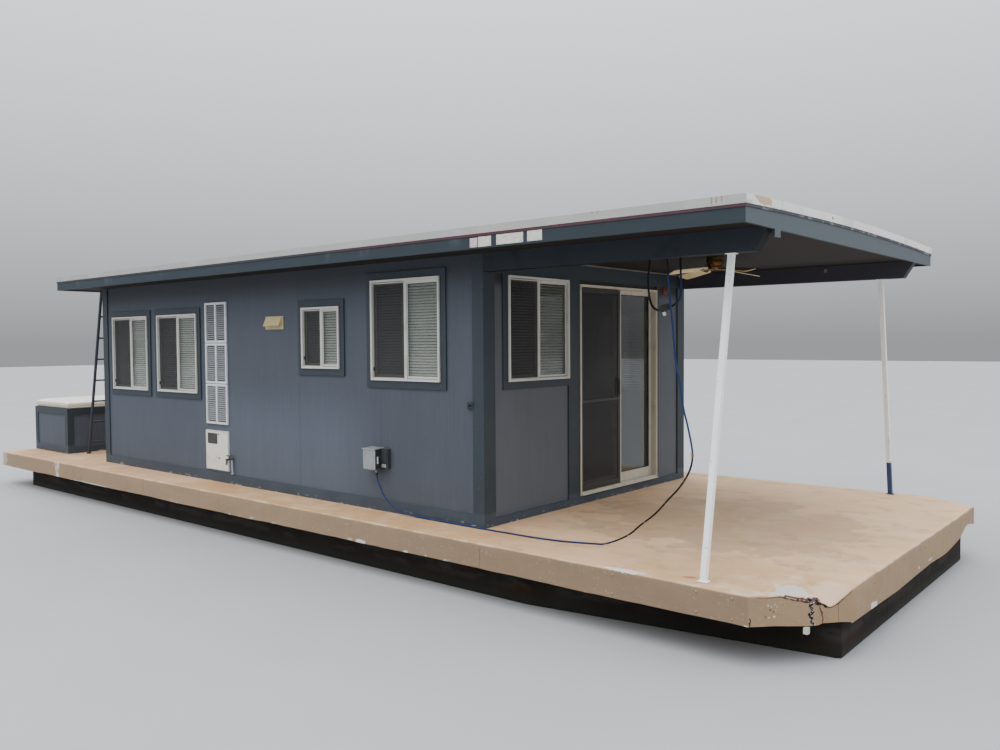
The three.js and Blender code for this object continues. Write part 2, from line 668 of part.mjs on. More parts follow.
function buildRoof() {
  const inside = ROOF_HALF - FASCIA_THICK - GAP;
  const x0 = ROOF_AFT_X + FASCIA_THICK + GAP;
  const x1 = ROOF_BOW_X - FASCIA_THICK - GAP;
  addPiece('roof_deck', crossPrism(crownedSection(inside, CEILING_Z, FASCIA_TOP_Z - GAP, false), x0, x1),
    material('ceiling', 0.85));

  const trim = () => material('trim', 0.75);
  addPiece('fascia_starboard',
    box(ROOF_AFT_X, ROOF_BOW_X, -ROOF_HALF, -ROOF_HALF + FASCIA_THICK, FASCIA_BOTTOM_Z, FASCIA_TOP_Z - GAP), trim());
  addPiece('fascia_port',
    box(ROOF_AFT_X, ROOF_BOW_X, ROOF_HALF - FASCIA_THICK, ROOF_HALF, FASCIA_BOTTOM_Z, FASCIA_TOP_Z - GAP), trim());
  const end = crownedSection(inside, FASCIA_BOTTOM_Z, FASCIA_TOP_Z - GAP, false);
  const b = FASCIA_BLOCK;
  const block = boxSolid(ROOF_BOW_X - FASCIA_THICK, ROOF_BOW_X, b.y - b.wide / 2, b.y + b.wide / 2,
    FASCIA_BOTTOM_Z - b.drop, FASCIA_BOTTOM_Z + 10);
  addPiece('fascia_bow', join([solidOf(crossPrism(end, ROOF_BOW_X - FASCIA_THICK, ROOF_BOW_X)), block]), trim());
  addPiece('fascia_stern', crossPrism(end, ROOF_AFT_X, ROOF_AFT_X + FASCIA_THICK), trim());

  const dripTop = FASCIA_TOP_Z + DRIP_THICK;
  addPiece('roof_drip_edge', crossPrism(
    crownedSection(ROOF_HALF + DRIP_PROUD, FASCIA_TOP_Z, dripTop, true),
    ROOF_AFT_X - DRIP_PROUD, ROOF_BOW_X + DRIP_PROUD), material('drip', 0.6));
  addPiece('roof_membrane', crossPrism(
    crownedSection(ROOF_HALF + MEMBRANE_PROUD, dripTop + GAP, dripTop + GAP + MEMBRANE_THICK, true),
    ROOF_AFT_X - MEMBRANE_PROUD, ROOF_BOW_X + MEMBRANE_PROUD), material('roof', 0.8));
}

// Porch beams and leaning posts

function beamSolid(side) {
  const back = CABIN_FRONT_X + TRIM_RELIEF + GAP;
  const top = CEILING_Z - GAP;
  const nose = ROOF_BOW_X - FASCIA_THICK - 3;
  const outline = [[back, BEAM_BOTTOM_Z], [BEAM_NOSE_X, BEAM_BOTTOM_Z], [nose, top], [back, top]];
  const y0 = side * BEAM_HALF;
  const y1 = side * (BEAM_HALF - BEAM_WIDE);
  return sidePrism(outline, Math.min(y0, y1), Math.max(y0, y1));
}

function postSolid(side) {
  const p = POST_PLATE;
  const z0 = DECK_Z + GAP;
  const z1 = BEAM_BOTTOM_Z - GAP;
  const rise = z1 - z0;
  const half = POST_SIDE / 2;
  const headX = side < 0 ? POST_HEAD.starboardX : POST_HEAD.portX;
  const footX = side < 0 ? POST_FOOT.starboardX : POST_FOOT.portX;
  const lean = new THREE.Matrix4().set(
    1, 0, (headX - footX) / rise, 0,
    0, 1, (side * (POST_HEAD.y - POST_FOOT.y)) / rise, 0,
    0, 0, 1, 0,
    0, 0, 0, 1);
  const tube = box(-half, half, -half, half, 0, rise).applyMatrix4(lean)
    .translate(footX, side * POST_FOOT.y, z0);
  const plate = (x, y, z) => box(x - p.x / 2, x + p.x / 2, side * y - p.y / 2, side * y + p.y / 2, z, z + p.thick);
  const foot = plate(footX, POST_FOOT.y, z0);
  const head = plate(headX, POST_HEAD.y, z1 - p.thick);
  return join([tube, foot, head].map(solidOf));
}

function buildPorch() {
  for (const [name, side] of [['starboard', -1], ['port', 1]]) {
    addPiece(`porch_beam_${name}`, beamSolid(side), material('trim', 0.75));
    addPiece(`porch_post_${name}`, postSolid(side), material('white', 0.5, 0.3));
  }
}

// Stern locker: an open box with boards round its faces, and two padded lids hung on its aft edge.

function lockerSolid() {
  const l = LOCKER;
  const z0 = DECK_Z + GAP;
  const z1 = DECK_Z + l.high;
  const r = l.relief;
  const body = boxSolid(l.x0 + r, l.x1 - r, -l.half + r, l.half - r, z0, z1);
  const frames = [
    box(l.x0, l.x1, -l.half, l.half, z0, z0 + l.board),
    box(l.x0, l.x1, -l.half, l.half, z1 - l.board, z1),
  ];
  for (const [x, dx] of [[l.x0, 1], [l.x1, -1]]) {
    for (const side of [-1, 1]) {
      const xs = [x, x + dx * l.board].sort((a, b) => a - b);
      const ys = [side * l.half, side * (l.half - l.board)].sort((a, b) => a - b);
      frames.push(box(xs[0], xs[1], ys[0], ys[1], z0, z1));
    }
  }
  for (const y of [-l.board / 2, -l.half / 2 - l.board / 2, l.half / 2 - l.board / 2]) {
    frames.push(box(l.x0, l.x1, y, y + l.board, z0, z1));
  }
  const w = l.wall + r;
  const hollow = boxSolid(l.x0 + w, l.x1 - w, -l.half + w, l.half - w, z0 + l.floor, z1 + 10);
  return join([body, ...frames.map(solidOf)]).subtract(hollow);
}

function lidSolid(side) {
  const l = LOCKER;
  const z0 = DECK_Z + l.high + RUN;
  const x0 = l.x0;
  const x1 = l.x1 + LID.over;
  const near = LID.gap / 2;
  const far = l.half + LID.over;
  const section = [
    [near, z0], [far, z0], [far, z0 + LID.thick - LID.bevel], [far - LID.bevel, z0 + LID.thick],
    [(near + far) / 2, z0 + LID.thick + LID.crown * 0.7], [near + LID.bevel, z0 + LID.thick],
    [near, z0 + LID.thick - LID.bevel],
  ].map(([y, z]) => [side * y, z]);
  const along = solidOf(crossPrism(section, x0, x1));
  const profile = [
    [x0, z0 - 1], [x1, z0 - 1], [x1, z0 + LID.thick - LID.bevel], [x1 - LID.bevel, z0 + LID.thick],
    [(x0 + x1) / 2, z0 + LID.thick + LID.crown], [x0 + LID.bevel, z0 + LID.thick],
    [x0, z0 + LID.thick - LID.bevel],
  ];
  return along.intersect(solidOf(sidePrism(profile, -far - 10, far + 10)));
}

function buildLocker() {
  addPiece('stern_locker', lockerSolid(), material('siding', 0.8));
  addPiece('locker_lid_starboard', lidSolid(-1), material('cushion', 0.7));
  addPiece('locker_lid_port', lidSolid(1), material('cushion', 0.7));
}

// Roof ladder: two leaning rails, each with a short arm and a pad against the stern fascia.

function ladderSolid() {
  const l = LADDER;
  const foot = DECK_Z + GAP;
  const railX = (z) => l.footX + (z - foot) * l.slope;
  const padX = ROOF_AFT_X - GAP;
  const pieces = [];
  for (const y of [l.y0, l.y1]) {
    pieces.push(rod([railX(foot + 12), y, foot + 12], [railX(l.topZ), y, l.topZ], l.rail, 12));
    pieces.push(ball([railX(l.topZ), y, l.topZ], l.rail * 1.02));
    pieces.push(rod([railX(l.topZ), y, l.topZ], [padX - 3, y, l.topZ], l.rail * 0.7, 12));
    pieces.push(rod([padX - 6, y, l.topZ], [padX, y, l.topZ], l.pad, 16));
    pieces.push(rod([l.footX, y, foot], [l.footX, y, foot + 22], l.rail + 9, 16));
  }
  for (let i = 0; i < l.rungs; i += 1) {
    const z = DECK_Z + l.firstRung + i * l.rungPitch;
    pieces.push(rod([railX(z), l.y0, z], [railX(z), l.y1, z], l.rung, 10));
  }
  return join(pieces.map(solidOf));
}

// Ceiling fan: a brass motor under the porch ceiling and a rotor with its blades.

function fanRotorSolid(topZ) {
  const f = FAN;
  const hub = lathe([[0, -34], [f.hubR * 0.6, -34], [f.hubR, -20], [f.hubR, 0], [0, 0]], f.x, f.y, topZ);
  const pieces = [solidOf(hub)];
  for (let i = 0; i < FAN_BLADES; i += 1) {
    const blade = box(f.bladeIn, f.bladeOut, -f.bladeWide / 2, f.bladeWide / 2, -4, 4);
    blade.rotateX(BLADE_PITCH).rotateY(BLADE_DROOP).rotateZ((i / FAN_BLADES) * 2 * Math.PI + FAN_TURN);
    pieces.push(solidOf(blade.translate(f.x, f.y, topZ - 14)));
  }
  return join(pieces);
}

function buildFan() {
  const f = FAN;
  const top = CEILING_Z - GAP;
  const r = f.bodyR;
  const motor = lathe([
    [0, -f.bodyHigh], [r * 0.8, -f.bodyHigh], [r, -f.bodyHigh + 16], [r, -26], [r * 0.72, -14],
    [r * 0.72, 0], [0, 0],
  ], f.x, f.y, top);
  addPiece('fan_motor', motor, material('brass', 0.35, 0.8));
  addPiece('fan_rotor', fanRotorSolid(top - f.bodyHigh - RUN), material('blade', 0.6));
}

// Power cord, outlet cord, and the raceway whose glands hold their upper ends

function racewaySolid() {
  const r = RACEWAY;
  const top = CEILING_Z - GAP;
  const bar = boxSolid(r.x0, r.x1, r.y0, r.y1, CEILING_Z - r.deep, top);
  const places = [[LOOP_ENDS[0], LOOP_Y], [CORD_TOP.x, CORD_TOP.y], [LOOP_ENDS[1], LOOP_Y]];
  const glands = places.map(([x, y]) => rod(
    [x, y, CEILING_Z - r.deep + 2], [x, y, CEILING_Z - r.deep - GLAND.high], GLAND.r, 16));
  return join([bar, ...glands.map(solidOf)]);
}

function cordTube(points, diameter, steps) {
  const path = new THREE.CatmullRomCurve3(points, false, 'centripetal');
  const section = shapeOf(Array.from({ length: CORD_SIDES }, (_, i) => {
    const angle = (i / CORD_SIDES) * 2 * Math.PI;
    return [Math.cos(angle) * diameter / 2, Math.sin(angle) * diameter / 2];
  }));
  return new THREE.ExtrudeGeometry(section, { steps, bevelEnabled: false, extrudePath: path });
}

function outletCordSolid() {
  const t = TAP;
  const loop = cordTube(LOOP_POINTS.map((p) => new THREE.Vector3(...p)), LOOP_D, LOOP_STEPS);
  const body = box(-(t.x1 - t.x0) / 2, (t.x1 - t.x0) / 2, -t.wide / 2, t.wide / 2, -t.high / 2, t.high / 2)
    .rotateY(t.tilt).translate((t.x0 + t.x1) / 2, LOOP_Y, t.z);
  return join([solidOf(loop), solidOf(body)]);
}

function buildCords() {
  addPiece('ceiling_raceway', racewaySolid(), material('darkMetal', 0.5));
  const route = new THREE.CatmullRomCurve3(CORD_POINTS.map((p) => new THREE.Vector3(...p)), false, 'centripetal');
  const laid = route.getSpacedPoints(CORD_STEPS).map((p) => p.setZ(Math.max(p.z, CORD_REST_Z)));
  laid.splice(1, 0, new THREE.Vector3(...CORD_POINTS[1]));
  addPiece('power_cord', cordTube(laid, CORD_D, CORD_STEPS), material('cord', 0.6));
  addPiece('outlet_cord', outletCordSolid(), material('darkMetal', 0.6));
}

buildHullAndDeck();
buildWalls();
buildWindows();
buildPatioDoor();
buildRearDoor();
buildStarboardFittings();
buildRoof();
buildPorch();
buildLocker();
addPiece('roof_ladder', ladderSolid(), material('darkMetal', 0.5, 0.6));
buildFan();
buildCords();

export default houseboat;
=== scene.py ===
# Looks of the houseboat. Metres; +X to the bow, +Y to port, +Z up.
# The boat floats, so the floor is its waterline.

import math
import random

import bpy
import bmesh
from mathutils import Matrix, Vector
from mathutils import noise as field
from mathutils.bvhtree import BVHTree


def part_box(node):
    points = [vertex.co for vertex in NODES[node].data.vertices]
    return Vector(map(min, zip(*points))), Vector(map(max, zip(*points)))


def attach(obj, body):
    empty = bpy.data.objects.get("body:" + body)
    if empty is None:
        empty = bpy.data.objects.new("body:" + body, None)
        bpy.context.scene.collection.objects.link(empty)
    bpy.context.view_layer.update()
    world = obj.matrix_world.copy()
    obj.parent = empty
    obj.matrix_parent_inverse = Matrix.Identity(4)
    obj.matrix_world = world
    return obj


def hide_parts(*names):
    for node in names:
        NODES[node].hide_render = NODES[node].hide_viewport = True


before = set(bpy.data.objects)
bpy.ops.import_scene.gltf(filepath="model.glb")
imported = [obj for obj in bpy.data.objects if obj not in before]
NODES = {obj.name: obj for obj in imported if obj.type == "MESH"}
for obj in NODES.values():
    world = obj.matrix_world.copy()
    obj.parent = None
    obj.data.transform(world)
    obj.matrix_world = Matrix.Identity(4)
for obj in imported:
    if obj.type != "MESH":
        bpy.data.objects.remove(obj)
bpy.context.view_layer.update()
BOAT = "boat"

# Places that several pieces share
DECK = 0.69
WATERLINE = 0.22
CEILING = 3.0
HALF = 1.724
AFT_X = -3.648
FRONT_X = 3.074
DECK_AFT, DECK_BOW, DECK_HALF = -6.05, 6.05, 2.155
SKIRT = 0.2
FASCIA_HALF = 2.143


# Camera, light and floor

CAMERA_TURN = (0.70017, -0.03796, -0.00695)
CAMERA_PLACE = (7.834, -7.157, 2.258)
CAMERA_LENS = 31.07
SKY_LOW, SKY_HIGH = 0.42, 3.6
SKY_COLOUR = (0.86, 0.88, 0.92, 1)
FLOOR_SIZE = 160


def add_camera():
    """The photograph's camera; its turn is yaw, pitch and roll."""
    yaw, pitch, roll = CAMERA_TURN
    right = Vector((math.cos(yaw), math.sin(yaw), 0))
    ahead = Vector((-math.sin(yaw) * math.cos(pitch), math.cos(yaw) * math.cos(pitch), math.sin(pitch)))
    up = right.cross(ahead)
    right, up = right * math.cos(roll) + up * math.sin(roll), up * math.cos(roll) - right * math.sin(roll)
    data = bpy.data.cameras.new("camera")
    data.sensor_width = 36
    data.lens = CAMERA_LENS
    data.clip_end = 300
    camera = bpy.data.objects.new("camera", data)
    turn = Matrix((right, up, -ahead)).transposed().to_4x4()
    camera.matrix_world = Matrix.Translation(CAMERA_PLACE) @ turn
    bpy.context.scene.collection.objects.link(camera)
    bpy.context.scene.camera = camera


def add_light(name, place, aim, size, power, colour):
    data = bpy.data.lights.new(name, "AREA")
    data.shape, data.size, data.energy, data.color = "DISK", size, power, colour
    light = bpy.data.objects.new(name, data)
    light.location = place
    light.rotation_euler = (Vector(aim) - Vector(place)).to_track_quat("-Z", "Y").to_euler()
    bpy.context.scene.collection.objects.link(light)


def add_studio():
    world = bpy.data.worlds.new("sky")
    world.use_nodes = True
    tree = world.node_tree
    high = tree.nodes.new("ShaderNodeSeparateXYZ")
    tree.links.new(tree.nodes.new("ShaderNodeTexCoord").outputs["Generated"], high.inputs[0])
    bright = tree.nodes.new("ShaderNodeMapRange")
    for key, value in (("From Min", 0.0), ("From Max", 1.0), ("To Min", SKY_LOW), ("To Max", SKY_HIGH)):
        bright.inputs[key].default_value = value
    tree.links.new(high.outputs["Z"], bright.inputs["Value"])
    tree.links.new(bright.outputs[0], tree.nodes["Background"].inputs["Strength"])
    tree.nodes["Background"].inputs["Color"].default_value = SKY_COLOUR
    bpy.context.scene.world = world
    add_light("soft_top", (2, -6, 14), (0, 0, 1), 14, 900, (1.0, 0.98, 0.95))
    bpy.ops.mesh.primitive_plane_add(size=FLOOR_SIZE, location=(0, 0, WATERLINE))
    floor = bpy.context.object
    floor.name = "floor"
    paint = Paint("floor_paint", (158, 159, 161), rough=0.85)
    paint.layer(paint.noise(0.6, 2), (168, 169, 170))
    floor.data.materials.append(paint.done())


# Materials. A paint is a colour with layers over it, each with its own mask.

def linear(colour):
    """Three numbers from 0 to 255 as Blender's colour; sockets and finished colours pass through."""
    if not isinstance(colour, tuple) or len(colour) == 4:
        return colour
    return tuple((c / 255 / 12.92) if c <= 10.3 else ((c / 255 + 0.055) / 1.055) ** 2.4
                 for c in colour) + (1.0,)


class Paint:
    """A procedural material. Rows stand for masks, see mask(), and for noise, see value()."""

    def __init__(self, name, colour, rough=0.6, metal=0.0):
        self.material = bpy.data.materials.new(name)
        self.material.use_nodes = True
        self.tree = self.material.node_tree
        self.shader = self.tree.nodes["Principled BSDF"]
        self.shader.inputs["Metallic"].default_value = metal
        self.shader.inputs["Roughness"].default_value = rough
        coordinates = self.node("ShaderNodeTexCoord")
        self.at = coordinates.outputs["Object"]
        self.x, self.y, self.z = self.node("ShaderNodeSeparateXYZ", {0: self.at}).outputs
        normal = self.node("ShaderNodeSeparateXYZ", {0: coordinates.outputs["Normal"]})
        self.nx, self.ny, self.nz = normal.outputs
        self.colour = linear(colour)
        self.rough = rough
        self.heights = None

    def node(self, kind, inputs=None, **settings):
        made = self.tree.nodes.new(kind)
        for key, value in settings.items():
            setattr(made, key, value)
        for key, value in (inputs or {}).items():
            if isinstance(value, bpy.types.NodeSocket):
                self.tree.links.new(value, made.inputs[key])
            else:
                made.inputs[key].default_value = value
        return made

    def calc(self, operation, a, b=0.0):
        return self.node("ShaderNodeMath", {0: a, 1: b}, operation=operation).outputs[0]

    def vector(self, operation, a, b):
        return self.node("ShaderNodeVectorMath", {0: a, 1: b}, operation=operation).outputs[0]

    def noise(self, scale, detail=3.0, seed=0.0, stretch=(1, 1, 1), rough=0.55):
        place = self.vector("ADD", self.vector("MULTIPLY", self.at, stretch), (seed, seed, seed))
        inputs = {"Vector": place, "Scale": scale, "Detail": detail, "Roughness": rough}
        return self.node("ShaderNodeTexNoise", inputs).outputs[0]

    def step(self, value, low, high):
        """0 under low, 1 over high, smooth between; the value may be the name of an axis."""
        value = getattr(self, value) if isinstance(value, str) else value
        return self.node("ShaderNodeMapRange", {0: value, 1: low, 2: high},
                         interpolation_type="SMOOTHSTEP").outputs[0]

    def value(self, given):
        """A row of numbers stands for noise: scale, detail, seed, stretch and roughness."""
        return self.noise(*given) if isinstance(given, tuple) else given

    def patches(self, low, high, *noise):
        """Noise cut off softly between low and high."""
        return self.step(self.noise(*noise), low, high)

    def repeat(self, pitch):
        """How far from the middle of a repeat along x, as a share of the pitch."""
        share = self.calc("FRACT", self.calc("DIVIDE", self.x, pitch))
        return self.calc("ABSOLUTE", self.calc("SUBTRACT", share, 0.5))

    def no(self, mask):
        return self.calc("SUBTRACT", 1.0, mask)

    def mask(self, given):
        """A list is all of its masks together. A row is (axis, low, high) or ("noise", low, high, *noise)."""
        if isinstance(given, list):
            return self.both(*given)
        if isinstance(given, tuple):
            return self.patches(*given[1:]) if given[0] == "noise" else self.step(*given)
        return given

    def band(self, value, low, high, soft=0.004):
        return self.calc("MULTIPLY", self.step(value, low - soft, low + soft),
                         self.step(value, high + soft, high - soft))

    def join(self, operation, masks):
        whole, *rest = [self.mask(m) for m in masks]
        for mask in rest:
            whole = self.calc(operation, whole, mask)
        return whole

    def both(self, *masks):
        return self.join("MULTIPLY", masks)

    def either(self, *masks):
        return self.join("MAXIMUM", masks)

    def jitter(self, scale, seed, reach):
        """Noise about zero, for a ragged edge."""
        return self.calc("MULTIPLY", self.calc("SUBTRACT", self.noise(scale, 4, seed), 0.5), reach * 2)

    def spot(self, centre, size, ragged=0.5, scale=25.0, seed=3.0):
        """A ragged patch round a point; size is its half width along each axis."""
        place = self.vector("ADD", self.at, tuple(-c for c in centre))
        place = self.vector("MULTIPLY", place, tuple(1 / s for s in size))
        length = self.node("ShaderNodeVectorMath", {0: place}, operation="LENGTH").outputs["Value"]
        return self.step(self.calc("ADD", length, self.jitter(scale, seed, ragged)), 1.05, 0.9)

    def inside(self, a, b, corners, soft=0.003, ragged=0.0, scale=40.0, seed=2.0):
        """1 in a convex outline of (a, b) points, with a ragged edge."""
        shift = self.jitter(scale, seed, ragged) if ragged else 0.0
        sides = list(zip(corners, corners[1:] + corners[:1]))
        way = 1 if sum(p[0] * q[1] - q[0] * p[1] for p, q in sides) > 0 else -1
        masks = []
        for p, q in sides:
            long = math.hypot(q[0] - p[0], q[1] - p[1])
            na, nb = -(q[1] - p[1]) / long * way, (q[0] - p[0]) / long * way
            away = self.calc("ADD", self.calc("MULTIPLY", a, na), self.calc("MULTIPLY", b, nb))
            away = self.calc("ADD", self.calc("SUBTRACT", away, p[0] * na + p[1] * nb), shift)
            masks.append(self.step(away, -soft, soft))
        return self.both(*masks)

    def mix(self, mask, a, b):
        mask = self.value(mask)
        return self.node("ShaderNodeMix", {0: mask, 6: linear(a), 7: linear(b)}, data_type="RGBA").outputs[2]

    def layer(self, mask, colour, strength=1.0, rough=None):
        mask = self.mask(mask)
        if strength != 1.0:
            mask = self.calc("MULTIPLY", mask, strength)
        self.colour = self.mix(mask, self.colour, colour)
        if rough is not None:
            self.rough = self.node("ShaderNodeMix", {0: mask, 2: self.rough, 3: rough}).outputs[0]
        return self

    def shade(self, value, low, high):
        """Multiplies the colour by low to high, as the value goes from 0 to 1."""
        value = self.value(value)
        factor = self.node("ShaderNodeMapRange", {0: value, 1: 0.25, 2: 0.75, 3: low, 4: high}).outputs[0]
        grey = self.node("ShaderNodeCombineXYZ", {0: factor, 1: factor, 2: factor}).outputs[0]
        self.colour = self.node(
            "ShaderNodeMix", {0: 1.0, 6: self.colour, 7: grey}, data_type="RGBA", blend_type="MULTIPLY"
        ).outputs[2]
        return self

    def relief(self, value, metres):
        height = self.calc("MULTIPLY", self.value(value), metres)
        self.heights = height if self.heights is None else self.calc("ADD", self.heights, height)
        return self

    def done(self, **sockets):
        for key, value in (("Base Color", self.colour), ("Roughness", self.rough)):
            if isinstance(value, bpy.types.NodeSocket):
                self.tree.links.new(value, self.shader.inputs[key])
            else:
                self.shader.inputs[key].default_value = value
        if self.heights is not None:
            bump = self.node("ShaderNodeBump", {"Height": self.heights, "Distance": 1.0, "Strength": 1.0})
            self.tree.links.new(bump.outputs[0], self.shader.inputs["Normal"])
        for key, value in sockets.items():
            self.shader.inputs[key.replace("_", " ")].default_value = value
        return self.material


SIDING = (67, 73, 83)
TRIM = (42, 52, 59)
DECK_TAN = (217, 179, 138)
# The skirt tan is the deck paint darkened, painted shade on the upright faces.
SHADED_SKIRT_TAN = (150, 126, 99)
PLATE_LENGTH, LAP_PITCH = 2.44, 1.22


def weathered(name, colour, rough=0.6, metal=0.0, mottle=0.08, scale=2.0):
    return Paint(name, colour, rough, metal).shade((scale, 4, 1.0), 1 - mottle, 1 + mottle)


def boarded_paint(name, trim_mask):
    """Painted rough-sawn sheet with boards where the mask says so."""
    paint = Paint(name, SIDING, rough=0.72)
    out_y = paint.calc("ABSOLUTE", paint.y)
    grain = paint.noise(64, 5, 7, (1, 1, 0.04))
    coarse = paint.noise(5, 3, 2, (1, 1, 0.08))
    # The front wall is painted lighter, partly painted light bounced off the deck and partly a greyer paint.
    paint.layer([("x", FRONT_X - 0.03, FRONT_X - 0.01), paint.step(out_y, HALF - 0.002, HALF - 0.004)],
                (93, 98, 105))
    paint.shade((0.9, 4, 4), 0.92, 1.07)
    # Painted light: the lower wall is painted lighter than its top; from x 1.6 on towards the bow it is
    # darker.
    paint.layer([("z", 2.0, 1.3), ("x", 2.2, 0.8)], (70, 77, 89), 0.8)
    paint.layer([("z", 1.9, 1.3), ("x", -1.6, -0.7), ("x", 1.9, 1.1)], (84, 93, 105), 0.6)
    paint.layer(("x", 1.6, 2.8), (67, 73, 82), 0.4)
    paint.shade(grain, 0.91, 1.07)
    paint.shade(coarse, 0.96, 1.035)
    paint.shade((150, 3, 61, (1, 1, 0.25)), 0.95, 1.05)
    low = paint.step("z", DECK + 1.0, DECK + 0.1)
    paint.layer([low, ("noise", 0.45, 0.75, 7, 5, 9, (1, 1, 0.3))], (84, 91, 102), 0.22)
    # Painted shade: the top of the wall is darker under the eave.
    paint.layer(("z", 2.66, 2.94), (40, 42, 46), 0.7)
    # Painted shade: the top of the front wall is dark under the porch ceiling.
    paint.layer([("z", 2.7, 2.8), ("x", FRONT_X - 0.03, FRONT_X - 0.01)], (37, 35, 34), 0.9)
    for seam in (0.563, 1.798):
        on_side = paint.step(out_y, HALF - 0.02, HALF - 0.01)
        paint.layer([paint.band("x", seam - 0.003, seam + 0.003, 0.003), on_side], (44, 50, 58), 0.6)
    trim = trim_mask(paint, out_y)
    boards = paint.mix((3, 4, 12), (32, 42, 50), (42, 53, 61))
    boards = paint.mix(paint.calc("MULTIPLY", paint.step(grain, 0.5, 0.8), 0.4), boards, (30, 40, 48))
    low_board = paint.step("z", DECK + 0.135, DECK + 0.105)
    boards = paint.mix(low_board, boards, paint.mix((4, 5, 13), (42, 54, 66), (54, 66, 78)))
    paint.layer(trim, boards, rough=0.6)
    band = paint.both(("z", DECK + 0.125, DECK + 0.095), ("z", DECK - 0.01, DECK))
    paint.layer([band, ("noise", 0.38, 0.6, 6, 5, 21, (0.5, 0.5, 1))], (64, 75, 86), 0.35)
    paint.layer([("z", DECK + 0.05, DECK + 0.004), ("noise", 0.6, 0.655, 30, 5, 31, (0.45, 0.45, 1.2))],
                (158, 156, 148), 0.8, rough=0.85)
    paint.layer([trim, ("noise", 0.7, 0.74, 70, 3, 41)], (120, 124, 124), 0.6, rough=0.8)
    indoors = [paint.step(out_y, HALF - 0.079, HALF - 0.08), ("x", AFT_X + 0.079, AFT_X + 0.08),
               ("x", FRONT_X - 0.079, FRONT_X - 0.08)]
    paint.layer(indoors, paint.mix(grain, (58, 46, 34), (78, 62, 46)), rough=0.5)
    paint.relief(grain, 0.0016).relief((160, 3, 5), 0.0005)
    return paint.done()


def wall_trim(paint, out_y):
    return paint.either(paint.step(out_y, HALF + 0.001, HALF + 0.002),
                        ("x", FRONT_X + 0.001, FRONT_X + 0.002), ("x", AFT_X - 0.001, AFT_X - 0.002))


def locker_trim(paint, out_y):
    return paint.either(paint.step(out_y, 1.682, 1.684), ("x", -6.022, -6.024), ("x", -4.937, -4.935))


def trim_paint():
    paint = Paint("trim_paint", TRIM, rough=0.58)
    grain = paint.noise(30, 5, 3, (0.05, 1, 1))
    paint.shade((1.4, 4, 6), 0.9, 1.08)
    paint.shade(grain, 0.93, 1.06)
    for seam in (-2.839, -0.315):
        paint.layer(paint.band("x", seam - 0.002, seam + 0.002, 0.002), (30, 38, 45), 0.8)
    paint.layer([("noise", 0.58, 0.72, 4, 5, 15, (1, 1, 0.25)), ("z", 2.97, 3.07)], (98, 108, 114), 0.25)
    paint.layer(("noise", 0.72, 0.75, 48, 3, 17), (30, 34, 38), 0.7, rough=0.8)
    # Painted light: faces towards the bow are lighter, the second layer following the grain.
    paint.layer(("nx", 0.4, 0.7), (78, 88, 92))
    paint.layer([("nx", 0.4, 0.7), paint.step(grain, 0.5, 0.75)], (84, 95, 99), 0.6)
    paint.relief(grain, 0.0008)
    return paint.done(Specular_IOR_Level=0.3)


TORN_START, TORN_ALONG = (5.605, -2.155), (0.6194, 0.7851)


def torn_patch(paint, corners, *edge):
    """An outline at the torn corner: distance along its chamfered edge, and distance in from it."""
    dx, dy = paint.calc("SUBTRACT", paint.x, TORN_START[0]), paint.calc("ADD", paint.y, -TORN_START[1])
    along_x, along_y = TORN_ALONG
    s = paint.calc("ADD", paint.calc("MULTIPLY", dx, along_x), paint.calc("MULTIPLY", dy, along_y))
    d = paint.calc("SUBTRACT", paint.calc("MULTIPLY", dy, along_x), paint.calc("MULTIPLY", dx, along_y))
    return paint.inside(s, d, corners, *edge)


